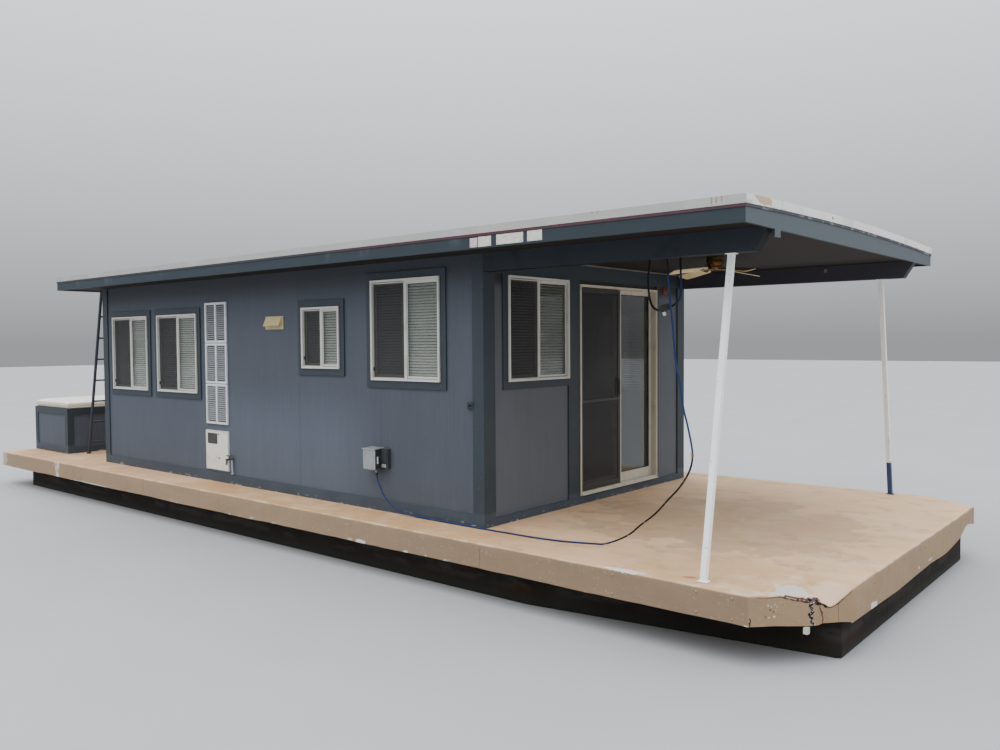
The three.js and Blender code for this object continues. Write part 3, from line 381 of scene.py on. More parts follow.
def deck_paint(name):
    paint = Paint(name, DECK_TAN, rough=0.78)
    top = paint.step("nz", 0.3, 0.8)
    # Painted shade: the upright faces take the darker skirt tan; bow-facing ones are a touch lighter.
    paint.colour = paint.mix(top, SHADED_SKIRT_TAN, DECK_TAN)
    paint.layer([("nx", 0.3, 0.6), paint.no(top)], (153, 128, 98))
    paint.layer([("ny", -0.9, -0.99), ("x", 0.5, 3.5)], (137, 115, 92), 0.9)
    # Painted shade: the side deck along the cabin, under the eave, is darker.
    paint.layer([top, ("y", -1.5, -1.85), ("x", 4.6, 2.8)], (192, 151, 105))
    paint.layer([top, ("x", -3.4, -4.2)], (188, 149, 109), 0.9)
    # Painted shade: the deck is darker near the torn bow corner.
    paint.layer([top, ("y", -1.1, -1.7), ("x", 4.2, 4.8)], (194, 157, 114), 0.8)
    paint.layer([paint.no(top), ("noise", 0.6, 0.66, 34, 5, 54, (1, 1, 1), 0.7)], (176, 156, 132), 0.5)
    paint.shade((2.6, 6, 51, (0.55, 1, 1), 0.65), 0.88, 1.07)
    paint.shade((0.7, 5, 2), 0.92, 1.06)
    paint.shade((9, 4, 8, (0.35, 1, 1)), 0.95, 1.04)
    paint.layer([top, ("noise", 0.52, 0.7, 2.2, 6, 19, (0.6, 1, 1))], (218, 194, 166), 0.35)
    paint.layer([top, ("noise", 0.55, 0.68, 1.1, 3, 27)], (222, 180, 150), 0.4)
    paint.layer([top, ("noise", 0.52, 0.72, 3.5, 6, 23)], (162, 135, 106), 0.6)
    paint.layer([top, ("noise", 0.6, 0.7, 14, 6, 53, (1, 0.35, 1), 0.7)], (222, 200, 172), 0.35)
    paint.layer([top, paint.spot((4.6, -0.2, DECK), (1.3, 1.1, 1), 0.9, 2.4, 4)], (172, 143, 110), 0.6)
    seam = paint.both(top, paint.band("x", 5.649, 5.653, 0.004), ("y", 2.0, 1.9))
    paint.layer([seam, ("noise", 0.36, 0.46, 7, 5, 52, (0.3, 1, 1))], (226, 200, 168), 0.6)
    joints = paint.step(paint.repeat(PLATE_LENGTH), 0.0016, 0.0007)
    paint.layer([top, joints, ("x", 5.5, 5.4)], (158, 138, 116), 0.5)
    paint.layer([paint.no(top), ("noise", 0.55, 0.75, 11, 4, 33, (1, 1, 0.12))], (132, 110, 86), 0.4)
    for centre, size, colour, amount in (
        ((1.982, -2.16, 0.5), (0.07, 0.05, 0.02), (212, 208, 200), 0.9),
        ((-5.98, -2.16, 0.6), (0.09, 0.05, 0.12), (190, 180, 166), 0.6),
        ((-6.06, -1.9, 0.6), (0.05, 0.4, 0.12), (206, 200, 190), 0.7),
        ((-3.3, -2.16, 0.492), (0.5, 0.05, 0.008), (206, 198, 186), 0.8),
        ((5.13, -2.01, 0.69), (0.05, 0.03, 0.02), (178, 104, 66), 0.9),
        ((4.7, -2.13, 0.69), (0.16, 0.03, 0.02), (216, 216, 212), 0.8),
        ((6.06, -1.14, 0.47), (0.05, 0.07, 0.03), (222, 216, 206), 0.9),
        ((6.06, 0.322, 0.531), (0.05, 0.006, 0.022), (66, 50, 38), 1.0)
    ):
        paint.layer(paint.spot(centre, size, 0.7), colour, amount, rough=0.7)
    scuff = paint.inside(
        paint.x, paint.z, [(-4.3, 0.7), (-4.12, 0.7), (-4.17, 0.48), (-4.215, 0.48)], 0.004, 0.045, 30
    )
    paint.layer([scuff, ("ny", -0.5, -0.8), ("noise", 0.4, 0.46, 24, 5, 55)], (198, 194, 186), 0.85,
                rough=0.7)
    torn = torn_patch(paint, [(0.2, 0.035), (0.28, 0.165), (0.4, 0.185), (0.46, 0.13), (0.42, 0.03),
                              (0.34, -0.01)], 0.006, 0.05, 22)
    edge = torn_patch(paint, [(0.14, -0.02), (0.16, 0.05), (0.5, 0.06), (0.52, -0.02)], 0.006, 0.035, 34, 5)
    bare = paint.mix((40, 3, 8), (176, 182, 178), (206, 200, 190))
    paint.layer([top, paint.either(torn, edge)], bare, 0.85, rough=0.65)
    rim = torn_patch(paint, [(0.26, -0.02), (0.26, 0.022), (0.5, 0.03), (0.5, -0.02)], 0.003, 0.022, 60, 9)
    paint.layer([top, rim], (84, 50, 38), rough=0.9)
    dusty = torn_patch(
        paint, [(0.5, -0.02), (0.5, 0.16), (0.66, 0.19), (0.74, 0.1), (0.7, -0.02)], 0.02, 0.05, 20
    )
    paint.layer([top, dusty], (214, 190, 166), 0.6)
    paint.layer([paint.band("z", DECK - 0.205, DECK - 0.185, 0.012),
                 ("noise", 0.6, 0.66, 16, 5, 37, (0.5, 0.5, 1))], (222, 216, 206), 0.9)
    paint.layer([paint.band("z", DECK - 0.012, DECK - 0.002, 0.006), ("noise", 0.5, 0.62, 5, 4, 39)],
                (214, 196, 172), 0.6)
    indoors = [paint.step(paint.calc("ABSOLUTE", paint.y), HALF, HALF - 0.01), ("x", AFT_X, AFT_X + 0.01),
               ("x", FRONT_X, FRONT_X - 0.01)]
    paint.layer(indoors, paint.mix((40, 3, 3), (70, 60, 52), (92, 80, 68)), rough=0.9)
    paint.relief((90, 4, 11), 0.0008).relief((6, 3, 12), 0.002)
    return paint.done()


def hull_paint():
    paint = Paint("hull_paint", (42, 38, 35), rough=0.9)
    paint.shade((2.4, 5, 3, (1, 1, 0.5)), 0.7, 1.3)
    paint.layer(("noise", 0.55, 0.68, 5, 6, 8, (0.5, 0.5, 1)), (52, 36, 26), 0.7, rough=0.95)
    paint.layer([paint.band("z", 0.33, 0.42, 0.03), ("noise", 0.45, 0.6, 9, 5, 4, (0.3, 0.3, 1))],
                (66, 64, 60), 0.45)
    paint.layer(("z", WATERLINE + 0.09, WATERLINE + 0.01), (34, 38, 30), 0.8, rough=0.5)
    paint.relief((14, 6, 5), 0.006).relief((80, 4, 6), 0.001)
    return paint.done(Specular_IOR_Level=0.12)


def frame_paint(name, colour, dirty):
    paint = weathered(name, colour, rough=0.42, mottle=0.05, scale=4)
    paint.layer(("noise", 0.5, 0.75, 14, 5, 3, (1, 1, 0.4)), dirty, 0.45)
    paint.layer(("noise", 0.7, 0.74, 60, 3, 9), (92, 90, 84), 0.5)
    return paint.done()


def roof_paint():
    paint = Paint("roof_paint", (230, 231, 224), rough=0.75)
    paint.shade((0.8, 5, 2), 0.93, 1.04)
    paint.layer(("noise", 0.55, 0.75, 3, 6, 5, (0.4, 1, 1)), (180, 182, 176), 0.5)
    laps = paint.repeat(LAP_PITCH)
    top = paint.step("nz", 0.5, 0.9)
    paint.layer([top, paint.step(laps, 0.01, 0.006)], (168, 170, 166), 0.6)
    paint.layer([top, ("noise", 0.56, 0.74, 1.7, 5, 9)], (158, 156, 146), 0.5)
    paint.relief(paint.both(top, paint.step(laps, 0.012, 0.004)), 0.003)
    edge = paint.no(top)
    side = paint.both(edge, paint.step(paint.calc("ABSOLUTE", paint.ny), 0.5, 0.7))
    # Painted shade: the edge faces towards the sides are darker than the bow-facing edge.
    paint.layer(side, (163, 165, 160))
    paint.layer([side, ("x", 3.0, -2.5)], (160, 162, 157))
    paint.layer([edge, ("noise", 0.5, 0.62, 2.6, 5, 14, (1, 1, 0.2))], (178, 179, 174), 0.35)
    paint.layer([edge, ("z", 3.128, 3.112), ("noise", 0.5, 0.6, 9, 5, 16, (0.6, 0.6, 1))], (176, 168, 160),
                0.6)
    patch = paint.inside(
        paint.y, paint.z, [(-2.07, 3.168), (-1.8, 3.172), (-1.755, 3.148), (-1.775, 3.118), (-1.93, 3.112)],
        0.003, 0.01, 24
    )
    paint.layer([edge, patch, ("x", 5.5, 5.55)], (196, 160, 128), 0.9, rough=0.85)
    for x, z in ((5.353, 3.128), (5.385, 3.132), (5.42, 3.138), (4.457, 3.16), (4.5, 3.158), (3.205, 3.165)):
        paint.layer(paint.spot((x, -2.15, z), (0.007, 0.05, 0.024), 0.8, 60), (150, 112, 90), 0.75)
    paint.layer(paint.spot((5.582, -0.644, 3.16), (0.05, 0.018, 0.012), 0.5, 60), (90, 86, 82), 0.8)
    seams = paint.either(paint.band("x", -1.42, -1.415, 0.003), paint.band("x", 1.068, 1.072, 0.003),
                         [("x", 5.5, 5.57), paint.band("y", -1.6, -1.595, 0.002)])
    paint.layer([seams, paint.no(top)], (120, 120, 116), 0.6)
    paint.relief((12, 4, 11), 0.003).relief((120, 3, 12), 0.0004)
    return paint.done()


def drip_paint():
    paint = Paint("drip_paint", (74, 40, 50), rough=0.6, metal=0.15)
    paint.layer(("noise", 0.5, 0.62, 3, 5, 3, (0.6, 0.6, 2)), (50, 44, 52), 0.8)
    paint.layer(("x", 2.2, 0.8), (46, 48, 54))
    bow = paint.step("nx", 0.4, 0.7)
    paint.layer(bow, (58, 60, 66))
    paint.layer([bow, ("noise", 0.52, 0.6, 7, 5, 8)], (120, 124, 126), 0.8)
    paint.layer(("noise", 0.6, 0.7, 22, 5, 4), (104, 70, 62), 0.5, rough=0.9)
    # Painted shade: the underside is darker.
    paint.layer(("nz", -0.5, -0.9), (40, 40, 44))
    return paint.done()


def beam_paint():
    paint = weathered("beam_paint", (50, 55, 60), rough=0.62, mottle=0.06, scale=2)
    paint.layer(("noise", 0.48, 0.74, 5, 5, 3), (38, 42, 48), 0.6)
    # Painted shade: the underside and the bow-facing end are dark.
    paint.layer(paint.either(("nz", -0.3, -0.6), ("nx", 0.3, 0.5)), (26, 28, 31))
    # Painted light: the port beam is lighter.
    paint.layer(("y", 0.0, 0.5), (66, 67, 75))
    paint.relief((30, 5, 6, (0.05, 1, 1)), 0.0006)
    return paint.done(Specular_IOR_Level=0.1)


def ceiling_paint():
    paint = Paint("ceiling_paint", (36, 33, 31), rough=0.85)
    grain = paint.noise(24, 5, 4, (0.06, 1, 1))
    paint.shade((1.0, 4, 2), 0.85, 1.1)
    paint.shade(grain, 0.94, 1.05)
    paint.layer(("noise", 0.58, 0.74, 2.3, 5, 9), (40, 35, 32), 0.6)
    paint.layer(paint.either(paint.band("x", 4.29, 4.296, 0.004), paint.band("y", -0.003, 0.003, 0.003)),
                (36, 34, 33), 0.6)
    paint.relief(grain, 0.0006)
    return paint.done(Specular_IOR_Level=0.2)


def glass_paint(name, colour, dusty, clear):
    paint = Paint(name, colour, rough=0.04)
    paint.layer(("noise", 0.4, 0.9, 5, 5, 3, (1, 1, 0.5)), dusty, 0.6, rough=0.1)
    return paint.done(Alpha=clear, IOR=1.5, Coat_Weight=1.0)


def screen_paint():
    paint = Paint("screen_weave", (34, 34, 35), rough=0.7)
    paint.layer(("noise", 0.5, 0.8, 5, 4, 3, (1, 1, 0.4)), (48, 48, 47), 0.5)
    return paint.done(Alpha=0.78)


def post_paint():
    paint = weathered("post_paint", (250, 251, 249), rough=0.4, mottle=0.04, scale=5)
    paint.layer(("noise", 0.56, 0.72, 9, 5, 3, (1, 1, 0.3)), (186, 186, 178), 0.6)
    paint.layer(("noise", 0.66, 0.7, 42, 4, 4), (132, 92, 66), 0.7, rough=0.8)
    paint.layer([("y", 0.5, 0.6), ("z", DECK + 0.335, DECK + 0.325)], (40, 62, 110), rough=0.5)
    return paint.done()


def vinyl_paint():
    paint = Paint("lid_vinyl", (226, 222, 206), rough=0.5)
    paint.shade((1.8, 4, 2), 0.95, 1.03)
    paint.layer(("noise", 0.55, 0.75, 6, 5, 5), (200, 192, 172), 0.5)
    # Painted shade: the sides are darker than the top, and darker still low down.
    paint.layer(paint.no(paint.step("nz", 0.25, 0.6)), (198, 192, 174), 0.8)
    paint.layer(("z", DECK + 0.675, DECK + 0.652), (160, 152, 134), 0.6)
    paint.relief((240, 3, 6), 0.0005)
    return paint.done(Coat_Weight=0.1)


def cord_paint():
    paint = Paint("cord_jacket", (24, 25, 29), rough=0.45)
    high = paint.both(("z", 1.43, 1.47), ("z", 2.76, 2.7))
    paint.layer(paint.either(("x", 4.36, 4.12), high), (26, 48, 92))
    paint.layer([("x", 4.1, 4.3), ("noise", 0.6, 0.66, 30, 4, 3), ("z", 1.3, 1.2)], (150, 146, 150), 0.8,
                rough=0.7)
    paint.layer(("noise", 0.55, 0.8, 12, 4, 5), (66, 70, 80), 0.4)
    return paint.done(Specular_IOR_Level=0.2)


def loop_paint():
    """Black, with a blue length on the bow side of the loop."""
    paint = weathered("loop_jacket", (15, 16, 18), rough=0.5, scale=30)
    paint.layer([("x", 4.76, 4.79), ("z", 2.78, 2.74)], (24, 38, 70))
    paint.relief((130, 3, 6), 0.0002)
    return paint.done(Specular_IOR_Level=0.15)


def brass_paint():
    paint = Paint("aged_brass", (138, 100, 50), rough=0.42, metal=0.7)
    paint.layer(("noise", 0.42, 0.6, 26, 5, 3), (52, 38, 26), 0.9, rough=0.7)
    paint.relief((70, 4, 4), 0.0006)
    return paint.done()


def blade_paint():
    paint = Paint("blade_paint", (218, 200, 150), rough=0.5)
    paint.shade((20, 4, 2, (0.2, 1, 1)), 0.93, 1.05)
    paint.layer(("noise", 0.55, 0.72, 8, 5, 3), (168, 140, 92), 0.6)
    return paint.done()


def grey_metal_paint():
    paint = Paint("box_grey", (142, 148, 150), rough=0.45, metal=0.35)
    paint.layer(("noise", 0.5, 0.66, 30, 5, 3), (176, 180, 180), 0.8)
    paint.layer(("noise", 0.56, 0.7, 12, 5, 5, (1, 1, 0.4)), (96, 92, 84), 0.6, rough=0.8)
    paint.layer(paint.either(("nx", 0.5, 0.8), ("nz", -0.5, -0.8)), (66, 72, 76), 0.85)
    paint.layer(("x", 1.836, 1.842), (56, 62, 66), 0.8)
    return paint.done()


def plain_paint(name, colour, dirty, rough=0.55, metal=0.0, scale=12, bump=0.0003, amount=0.6):
    """A colour with dirt in soft patches and a fine skin."""
    paint = weathered(name, colour, rough=rough, metal=metal, mottle=0.06, scale=scale / 3)
    paint.layer(("noise", 0.48, 0.74, scale, 5, 3), dirty, amount)
    paint.relief((130, 3, 6), bump)
    return paint.done()


# Mesh building

def hoops(count, sides):
    """The faces between a row of rings, closed at both ends."""
    faces = []
    for i in range(count - 1):
        for k in range(sides):
            n = (k + 1) % sides
            faces.append((i * sides + k, i * sides + n, (i + 1) * sides + n, (i + 1) * sides + k))
    return faces + [tuple(range(sides))[::-1], tuple((count - 1) * sides + k for k in range(sides))]


class Kit:
    """Gathers solids into one mesh piece with a list of materials."""

    def __init__(self, *materials, place=None):
        self.materials = list(materials)
        self.place = place
        self.points = []
        self.faces = []
        self.slots = []

    def add(self, points, faces, slot=0):
        start = len(self.points)
        self.points += [tuple(p) for p in points]
        self.faces += [tuple(start + i for i in face) for face in faces]
        self.slots += [slot] * len(faces)

    def box(self, low, high, chamfer=0.0, slot=0, turn=None):
        if self.place:
            low, high = self.place(*low), self.place(*high)
        low, high = [min(a, b) for a, b in zip(low, high)], [max(a, b) for a, b in zip(low, high)]
        if not chamfer:
            points = [Vector((x, y, z)) for x in (low[0], high[0]) for y in (low[1], high[1])
                      for z in (low[2], high[2])]
            faces = [(0, 1, 3, 2), (4, 6, 7, 5), (0, 4, 5, 1), (2, 3, 7, 6), (0, 2, 6, 4), (1, 5, 7, 3)]
        else:
            points, index = [], {}
            for corner in range(8):
                side = [(corner >> k) & 1 for k in range(3)]
                for axis in range(3):
                    p = [(high[k] - chamfer if side[k] else low[k] + chamfer) for k in range(3)]
                    p[axis] = high[axis] if side[axis] else low[axis]
                    index[(corner, axis)] = len(points)
                    points.append(Vector(p))
            faces = []
            for axis in range(3):
                u, v = (axis + 1) % 3, (axis + 2) % 3
                for s in (0, 1):
                    loop = [(s << axis) | (a << u) | (b << v) for a, b in ((0, 0), (1, 0), (1, 1), (0, 1))]
                    faces.append([index[(c, axis)] for c in (loop if s else loop[::-1])])
                for a in (0, 1):
                    for b in (0, 1):
                        one = (a << u) | (b << v)
                        two = one | (1 << axis)
                        quad = [index[(one, u)], index[(two, u)], index[(two, v)], index[(one, v)]]
                        faces.append(quad if a != b else quad[::-1])
            for c in range(8):
                tri = [index[(c, 0)], index[(c, 1)], index[(c, 2)]]
                faces.append(tri if bin(c).count("1") % 2 else tri[::-1])
        if turn is not None:
            points = [turn @ p for p in points]
        self.add(points, faces, slot)

    def rod(self, a, b, radius, sides=12, slot=0):
        self.tube([a, b], radius, sides, slot)

    def tube(self, path, radii, sides=10, slot=0):
        """A round tube through the points, with closed ends."""
        path = [Vector(p) for p in path]
        if not isinstance(radii, (list, tuple)):
            radii = [radii] * len(path)
        points, normal = [], None
        for i, p in enumerate(path):
            along = (path[min(i + 1, len(path) - 1)] - path[max(i - 1, 0)]).normalized()
            if normal is None:
                normal = along.orthogonal().normalized()
            normal = (normal - along * normal.dot(along)).normalized()
            other = along.cross(normal)
            for k in range(sides):
                angle = 2 * math.pi * k / sides
                points.append(p + (normal * math.cos(angle) + other * math.sin(angle)) * radii[i])
        self.add(points, hoops(len(path), sides), slot)

    def lathe(self, profile, centre, axis=(0, 0, 1), sides=32, slot=0):
        """Turns (radius, height) points round an axis, with flat ends."""
        turn = Vector((0, 0, 1)).rotation_difference(Vector(axis)).to_matrix()
        points = []
        for r, h in profile:
            for k in range(sides):
                angle = 2 * math.pi * k / sides
                points.append(Vector(centre) + turn @ Vector((r * math.cos(angle), r * math.sin(angle), h)))
        self.add(points, hoops(len(profile), sides), slot)

    def prism(self, outline, offset, slot=0):
        """A flat outline of points, pushed along an offset."""
        n = len(outline)
        points = [Vector(p) for p in outline] + [Vector(p) + Vector(offset) for p in outline]
        faces = [tuple(range(n))[::-1], tuple(range(n, 2 * n))]
        faces += [(i, (i + 1) % n, n + (i + 1) % n, n + i) for i in range(n)]
        self.add(points, faces, slot)

    def ring(self, u0, u1, z0, z1, border, w0, w1, slot=0, chamfer=0.0):
        """A flat frame on a wall; border is left, right, bottom, top, and w0 to w1 is out of the wall."""
        left, right, bottom, top = border
        for a, b, c, d in ((u0, u0 + left, z0, z1), (u1 - right, u1, z0, z1),
                           (u0 + left, u1 - right, z0, z0 + bottom), (u0 + left, u1 - right, z1 - top, z1)):
            self.box((a, w0, c), (b, w1, d), chamfer, slot)

    def sheet(self, u0, u1, z0, z1, w, slot=0):
        """One flat face, for insect mesh."""
        self.add([self.place(u, w, z) for u, z in ((u0, z0), (u1, z0), (u1, z1), (u0, z1))], [(0, 1, 2, 3)],
                 slot)

    def done(self, name, body=BOAT, slot=None, smooth=35, replaces=()):
        mesh = bpy.data.meshes.new(name)
        mesh.from_pydata(self.points, [], self.faces)
        for material in self.materials:
            mesh.materials.append(material)
        mesh.polygons.foreach_set("material_index", self.slots)
        tidy = bmesh.new()
        tidy.from_mesh(mesh)
        bmesh.ops.recalc_face_normals(tidy, faces=tidy.faces)
        tidy.to_mesh(mesh)
        tidy.free()
        mesh.polygons.foreach_set("use_smooth", [True] * len(mesh.polygons))
        mesh.set_sharp_from_angle(angle=math.radians(smooth))
        made = bpy.data.objects.new(name, mesh)
        bpy.context.scene.collection.objects.link(made)
        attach(made, body)
        if replaces:
            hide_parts(*replaces)
        return made


# Cords: the same routes as their CAD tubes

CORD_DIAMETER = 0.014
CORD_REST = DECK + 0.0076
CORD_ROUTE = [
    (1.806, -1.79, 1.05625), (1.806, -1.79, 1.037), (1.811, -1.79, 1.0), (1.85, -1.79, 0.92),
    (1.93, -1.79, 0.818), (2.06, -1.782, 0.742), (2.23, -1.772, 0.708), (2.42, -1.768, CORD_REST),
    (2.7, -1.77, CORD_REST), (3.063, -1.77, CORD_REST), (3.35, -1.764, CORD_REST), (3.65, -1.755, CORD_REST),
    (3.9, -1.716, CORD_REST), (4.06, -1.66, CORD_REST), (4.172, -1.618, CORD_REST), (4.288, -1.6, 0.736),
    (4.421, -1.6, 0.809), (4.508, -1.6, 0.884), (4.635, -1.6, 0.987), (4.742, -1.6, 1.103),
    (4.839, -1.6, 1.208), (4.918, -1.6, 1.338), (4.938, -1.6, 1.447), (4.904, -1.6, 1.634),
    (4.867, -1.6, 1.775), (4.837, -1.6, 1.968), (4.808, -1.6, 2.086), (4.78, -1.6, 2.359),
    (4.761, -1.6, 2.525), (4.746, -1.6, 2.698), (4.735, -1.6, 2.849), (4.732, -1.6, 2.9654)
]
LOOP_DIAMETER = 0.016
ROUTE_STEPS = 6
LOOP_Y = -1.555
LOOP_ROUTE = [
    (x, LOOP_Y, z) for x, z in ((4.571, 2.9654), (4.567, 2.856), (4.559, 2.783), (4.551, 2.71),
    (4.555, 2.636), (4.567, 2.562), (4.592, 2.51), (4.634, 2.485), (4.694, 2.498), (4.749, 2.512),
    (4.786, 2.532), (4.812, 2.568), (4.821, 2.622), (4.82, 2.718), (4.817, 2.854), (4.815, 2.9654))
]


def smooth_route(points, per_span, lowest=CORD_REST):
    """A centripetal Catmull-Rom curve through the points."""
    p = [Vector(q) for q in points]
    p = [p[0] * 2 - p[1]] + p + [p[-1] * 2 - p[-2]]
    route = []
    for i in range(1, len(p) - 2):
        t = [0.0]
        for k in range(i - 1, i + 2):
            t.append(t[-1] + math.sqrt(max((p[k + 1] - p[k]).length, 1e-6)))
        for step in range(per_span):
            s = t[1] + (t[2] - t[1]) * step / per_span
            a = [p[i - 1 + k].lerp(p[i + k], (s - t[k]) / (t[k + 1] - t[k])) for k in range(3)]
            b = [a[k].lerp(a[k + 1], (s - t[k]) / (t[k + 2] - t[k])) for k in range(2)]
            route.append(b[0].lerp(b[1], (s - t[1]) / (t[2] - t[1])))
    route.append(p[-2])
    return [Vector((q.x, q.y, max(q.z, lowest))) for q in route]


def lay_cord(node, points, diameter, paint, slot):
    route = smooth_route(points, ROUTE_STEPS)
    kit = Kit(paint)
    kit.tube(route, diameter / 2, 12)
    cord = kit.done(node + "_jacket", slot=slot, smooth=60, replaces=[node])


RELIEF_TAPER = [(0.0125, 0.0), (0.0128, 0.004), (0.0105, 0.012)]


def relief(kit, x, y, r):
    kit.lathe(RELIEF_TAPER + [(r + 0.0016, 0.026), (r + 0.0003, 0.034)], (x, y, 2.9657), (0, 0, -1), 20)


def add_power_cord():
    rubber = plain_paint("relief_rubber", (26, 26, 28), (48, 48, 50), rough=0.6)
    tape = plain_paint("tie_tape", (104, 84, 62), (64, 52, 40), rough=0.7, scale=60)
    ends = Kit(rubber, tape)
    relief(ends, 4.732, -1.6, CORD_DIAMETER / 2)
    ends.tube([(4.9375, -1.6, 1.428), (4.938, -1.6, 1.444), (4.936, -1.6, 1.46)], [0.0088, 0.0096, 0.0088],
              16, 1)
    ends = ends.done("power_cord_relief_and_tape", slot="cord_black")
    lay_cord("power_cord", CORD_ROUTE, CORD_DIAMETER, cord_paint(), "cord_blue")


def add_outlet_cord():
    """The loop with its reliefs and three-way outlet."""
    kit = Kit(BLACK_PLASTIC, WHITE_PLASTIC)
    for x in (4.571, 4.815):
        relief(kit, x, LOOP_Y, LOOP_DIAMETER / 2)
    turn = Matrix.Translation((4.694, LOOP_Y, 2.499)) @ Matrix.Rotation(-0.26, 4, "Y")
    kit.box((-0.039, -0.015, -0.025), (0.039, 0.015, 0.025), 0.006, 0, turn)
    for x in (-0.022, 0.0, 0.022):
        kit.box((x - 0.008, -0.0165, -0.013), (x + 0.008, -0.0145, 0.013), 0.002, 0, turn)
    for x, a in ((-0.039, -1), (0.039, 1)):
        kit.lathe([(0.0125, 0.0), (0.0115, 0.006), (0.008, 0.018), (0.006, 0.028)], turn @ Vector((x, 0, 0)),
                  turn.to_3x3() @ Vector((a, 0, 0)), 16)
    kit.box((-0.03, -0.008, -0.052), (-0.006, 0.008, -0.024), 0.004, 1, turn)
    ends = kit.done("outlet_tap_and_reliefs", slot="cord_black")
    lay_cord("outlet_cord", LOOP_ROUTE, LOOP_DIAMETER, loop_paint(), "cord_black")


add_camera()
add_studio()
BLACK_PLASTIC = plain_paint("black_plastic", (24, 25, 28), (60, 60, 60), rough=0.5, amount=0.4)
WHITE_PLASTIC = plain_paint("white_plastic", (196, 198, 196), (160, 160, 154), rough=0.4)
add_power_cord()
add_outlet_cord()
print("camera and cord ready")

SIDING_PAINT = boarded_paint("siding_paint", wall_trim)
TRIM_PAINT = trim_paint()
WHITE_FRAME = frame_paint("white_frame", (200, 199, 192), (160, 156, 146))
CREAM_FRAME = frame_paint("cream_frame", (192, 186, 168), (150, 142, 126))
GLASS = glass_paint("pane_glass", (110, 118, 112), (146, 152, 144), 0.3)
PATIO_GLASS = glass_paint("patio_glass", (38, 46, 42), (60, 70, 66), 0.66)
SCREEN = screen_paint()
BRASS = brass_paint()
DARK_METAL = plain_paint("dark_metal", (48, 52, 60), (92, 74, 60), rough=0.5, metal=0.4, scale=16, amount=0.5)
SCREEN_FRAME = plain_paint("screen_frame", (70, 68, 62), (50, 48, 46), rough=0.5, metal=0.3, amount=0.5)
LADDER_PAINT = plain_paint("ladder_paint", (44, 50, 62), (62, 62, 66), rough=0.6, scale=16, amount=0.5)
BIB_METAL = plain_paint(
    "bib_metal", (112, 110, 102), (66, 64, 60), rough=0.5, metal=0.6, scale=60, amount=0.8
)
SCREEN_BROWN = plain_paint("screen_frame_brown", (54, 49, 44), (40, 37, 34), rough=0.5, metal=0.2, amount=0.5)
# Black painted shade for the gaps round sashes and panes and for the fan motor's slots.
GAP_SHADE_BLACK = plain_paint("gap_shade_black", (26, 27, 28), (44, 44, 44), rough=0.8)
STEEL = plain_paint("bolt_steel", (150, 150, 146), (110, 88, 70), rough=0.35, metal=0.8, scale=40, amount=0.6)


BLIND = plain_paint("blind_slat", (216, 219, 208), (184, 186, 172), rough=0.5, scale=3, bump=0.0001)
RUST = plain_paint("rusted_cover", (120, 64, 42), (72, 44, 34), rough=0.85, scale=40, amount=0.8, bump=0.001)
PLATE = plain_paint("blank_plate", (206, 206, 196), (168, 160, 140), rough=0.5, scale=50, amount=0.8)
PLATE_PINK = plain_paint(
    "blank_plate_pink", (206, 186, 190), (150, 104, 108), rough=0.5, scale=60, amount=0.8
)
PVC = plain_paint("pvc_pipe", (150, 158, 168), (120, 126, 134), rough=0.5, amount=0.6)


def paint_nodes(material, *starts):
    """Gives a material to the nodes with these beginnings; a later call goes over an earlier one."""
    for name, node in NODES.items():
        if name.startswith(starts):
            node.data.materials.clear()
            node.data.materials.append(material)


for material, *starts in (
    (SIDING_PAINT, "wall_"), (TRIM_PAINT, "fascia_"), (beam_paint(), "porch_beam_"), (hull_paint(), "hull"),
    (roof_paint(), "roof_membrane"), (drip_paint(), "roof_drip_edge"), (ceiling_paint(), "roof_deck"),
    (CREAM_FRAME, "patio_"), (WHITE_FRAME, "window_"), (GLASS, *(n for n in NODES if n.endswith("_glass"))),
    (PATIO_GLASS, "patio_fixed_glass", "patio_sliding_glass"), (SCREEN, "patio_screen"),
    (post_paint(), "porch_post_"), (LADDER_PAINT, "roof_ladder"), (DARK_METAL, "ceiling_raceway"),
    (BRASS, "fan_motor"), (BIB_METAL, "hose_bib"), (blade_paint(), "fan_rotor"),
    (grey_metal_paint(), "power_box"), (plain_paint("hatch_cream", (222, 219, 208), (186, 180, 164),
    rough=0.45, scale=8), "access_hatch"), (plain_paint("hood_beige", (184, 172, 124), (142, 124, 84),
    rough=0.6), "vent_hood"), (plain_paint("door_cream", (206, 200, 182), (164, 156, 136), rough=0.5,
    scale=5), "rear_door"), (boarded_paint("locker_paint", locker_trim), "stern_locker")
):
    paint_nodes(material, *starts)


# Walls seen from outside: u runs to the viewer's right, w out of the wall.

WALLS = {
    "starboard": lambda u, w, z: Vector((u, -HALF - w, z)), "port": lambda u, w, z: Vector((-u, HALF + w, z)),
    "front": lambda u, w, z: Vector((FRONT_X + w, u, z)), "rear": lambda u, w, z: Vector((AFT_X - w, -u, z))
}


def wall_span(wall, node):
    low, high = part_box(node)
    axis = 0 if wall in ("starboard", "port") else 1
    ends = (low[axis], high[axis]) if wall in ("starboard", "front") else (-high[axis], -low[axis])
    return (*ends, low[2], high[2])


# Windows: the track lip, the insect screen on the left half, the two sashes, and a blind behind the pane

FRAME_BORDER = 0.02
MULLION = 0.032


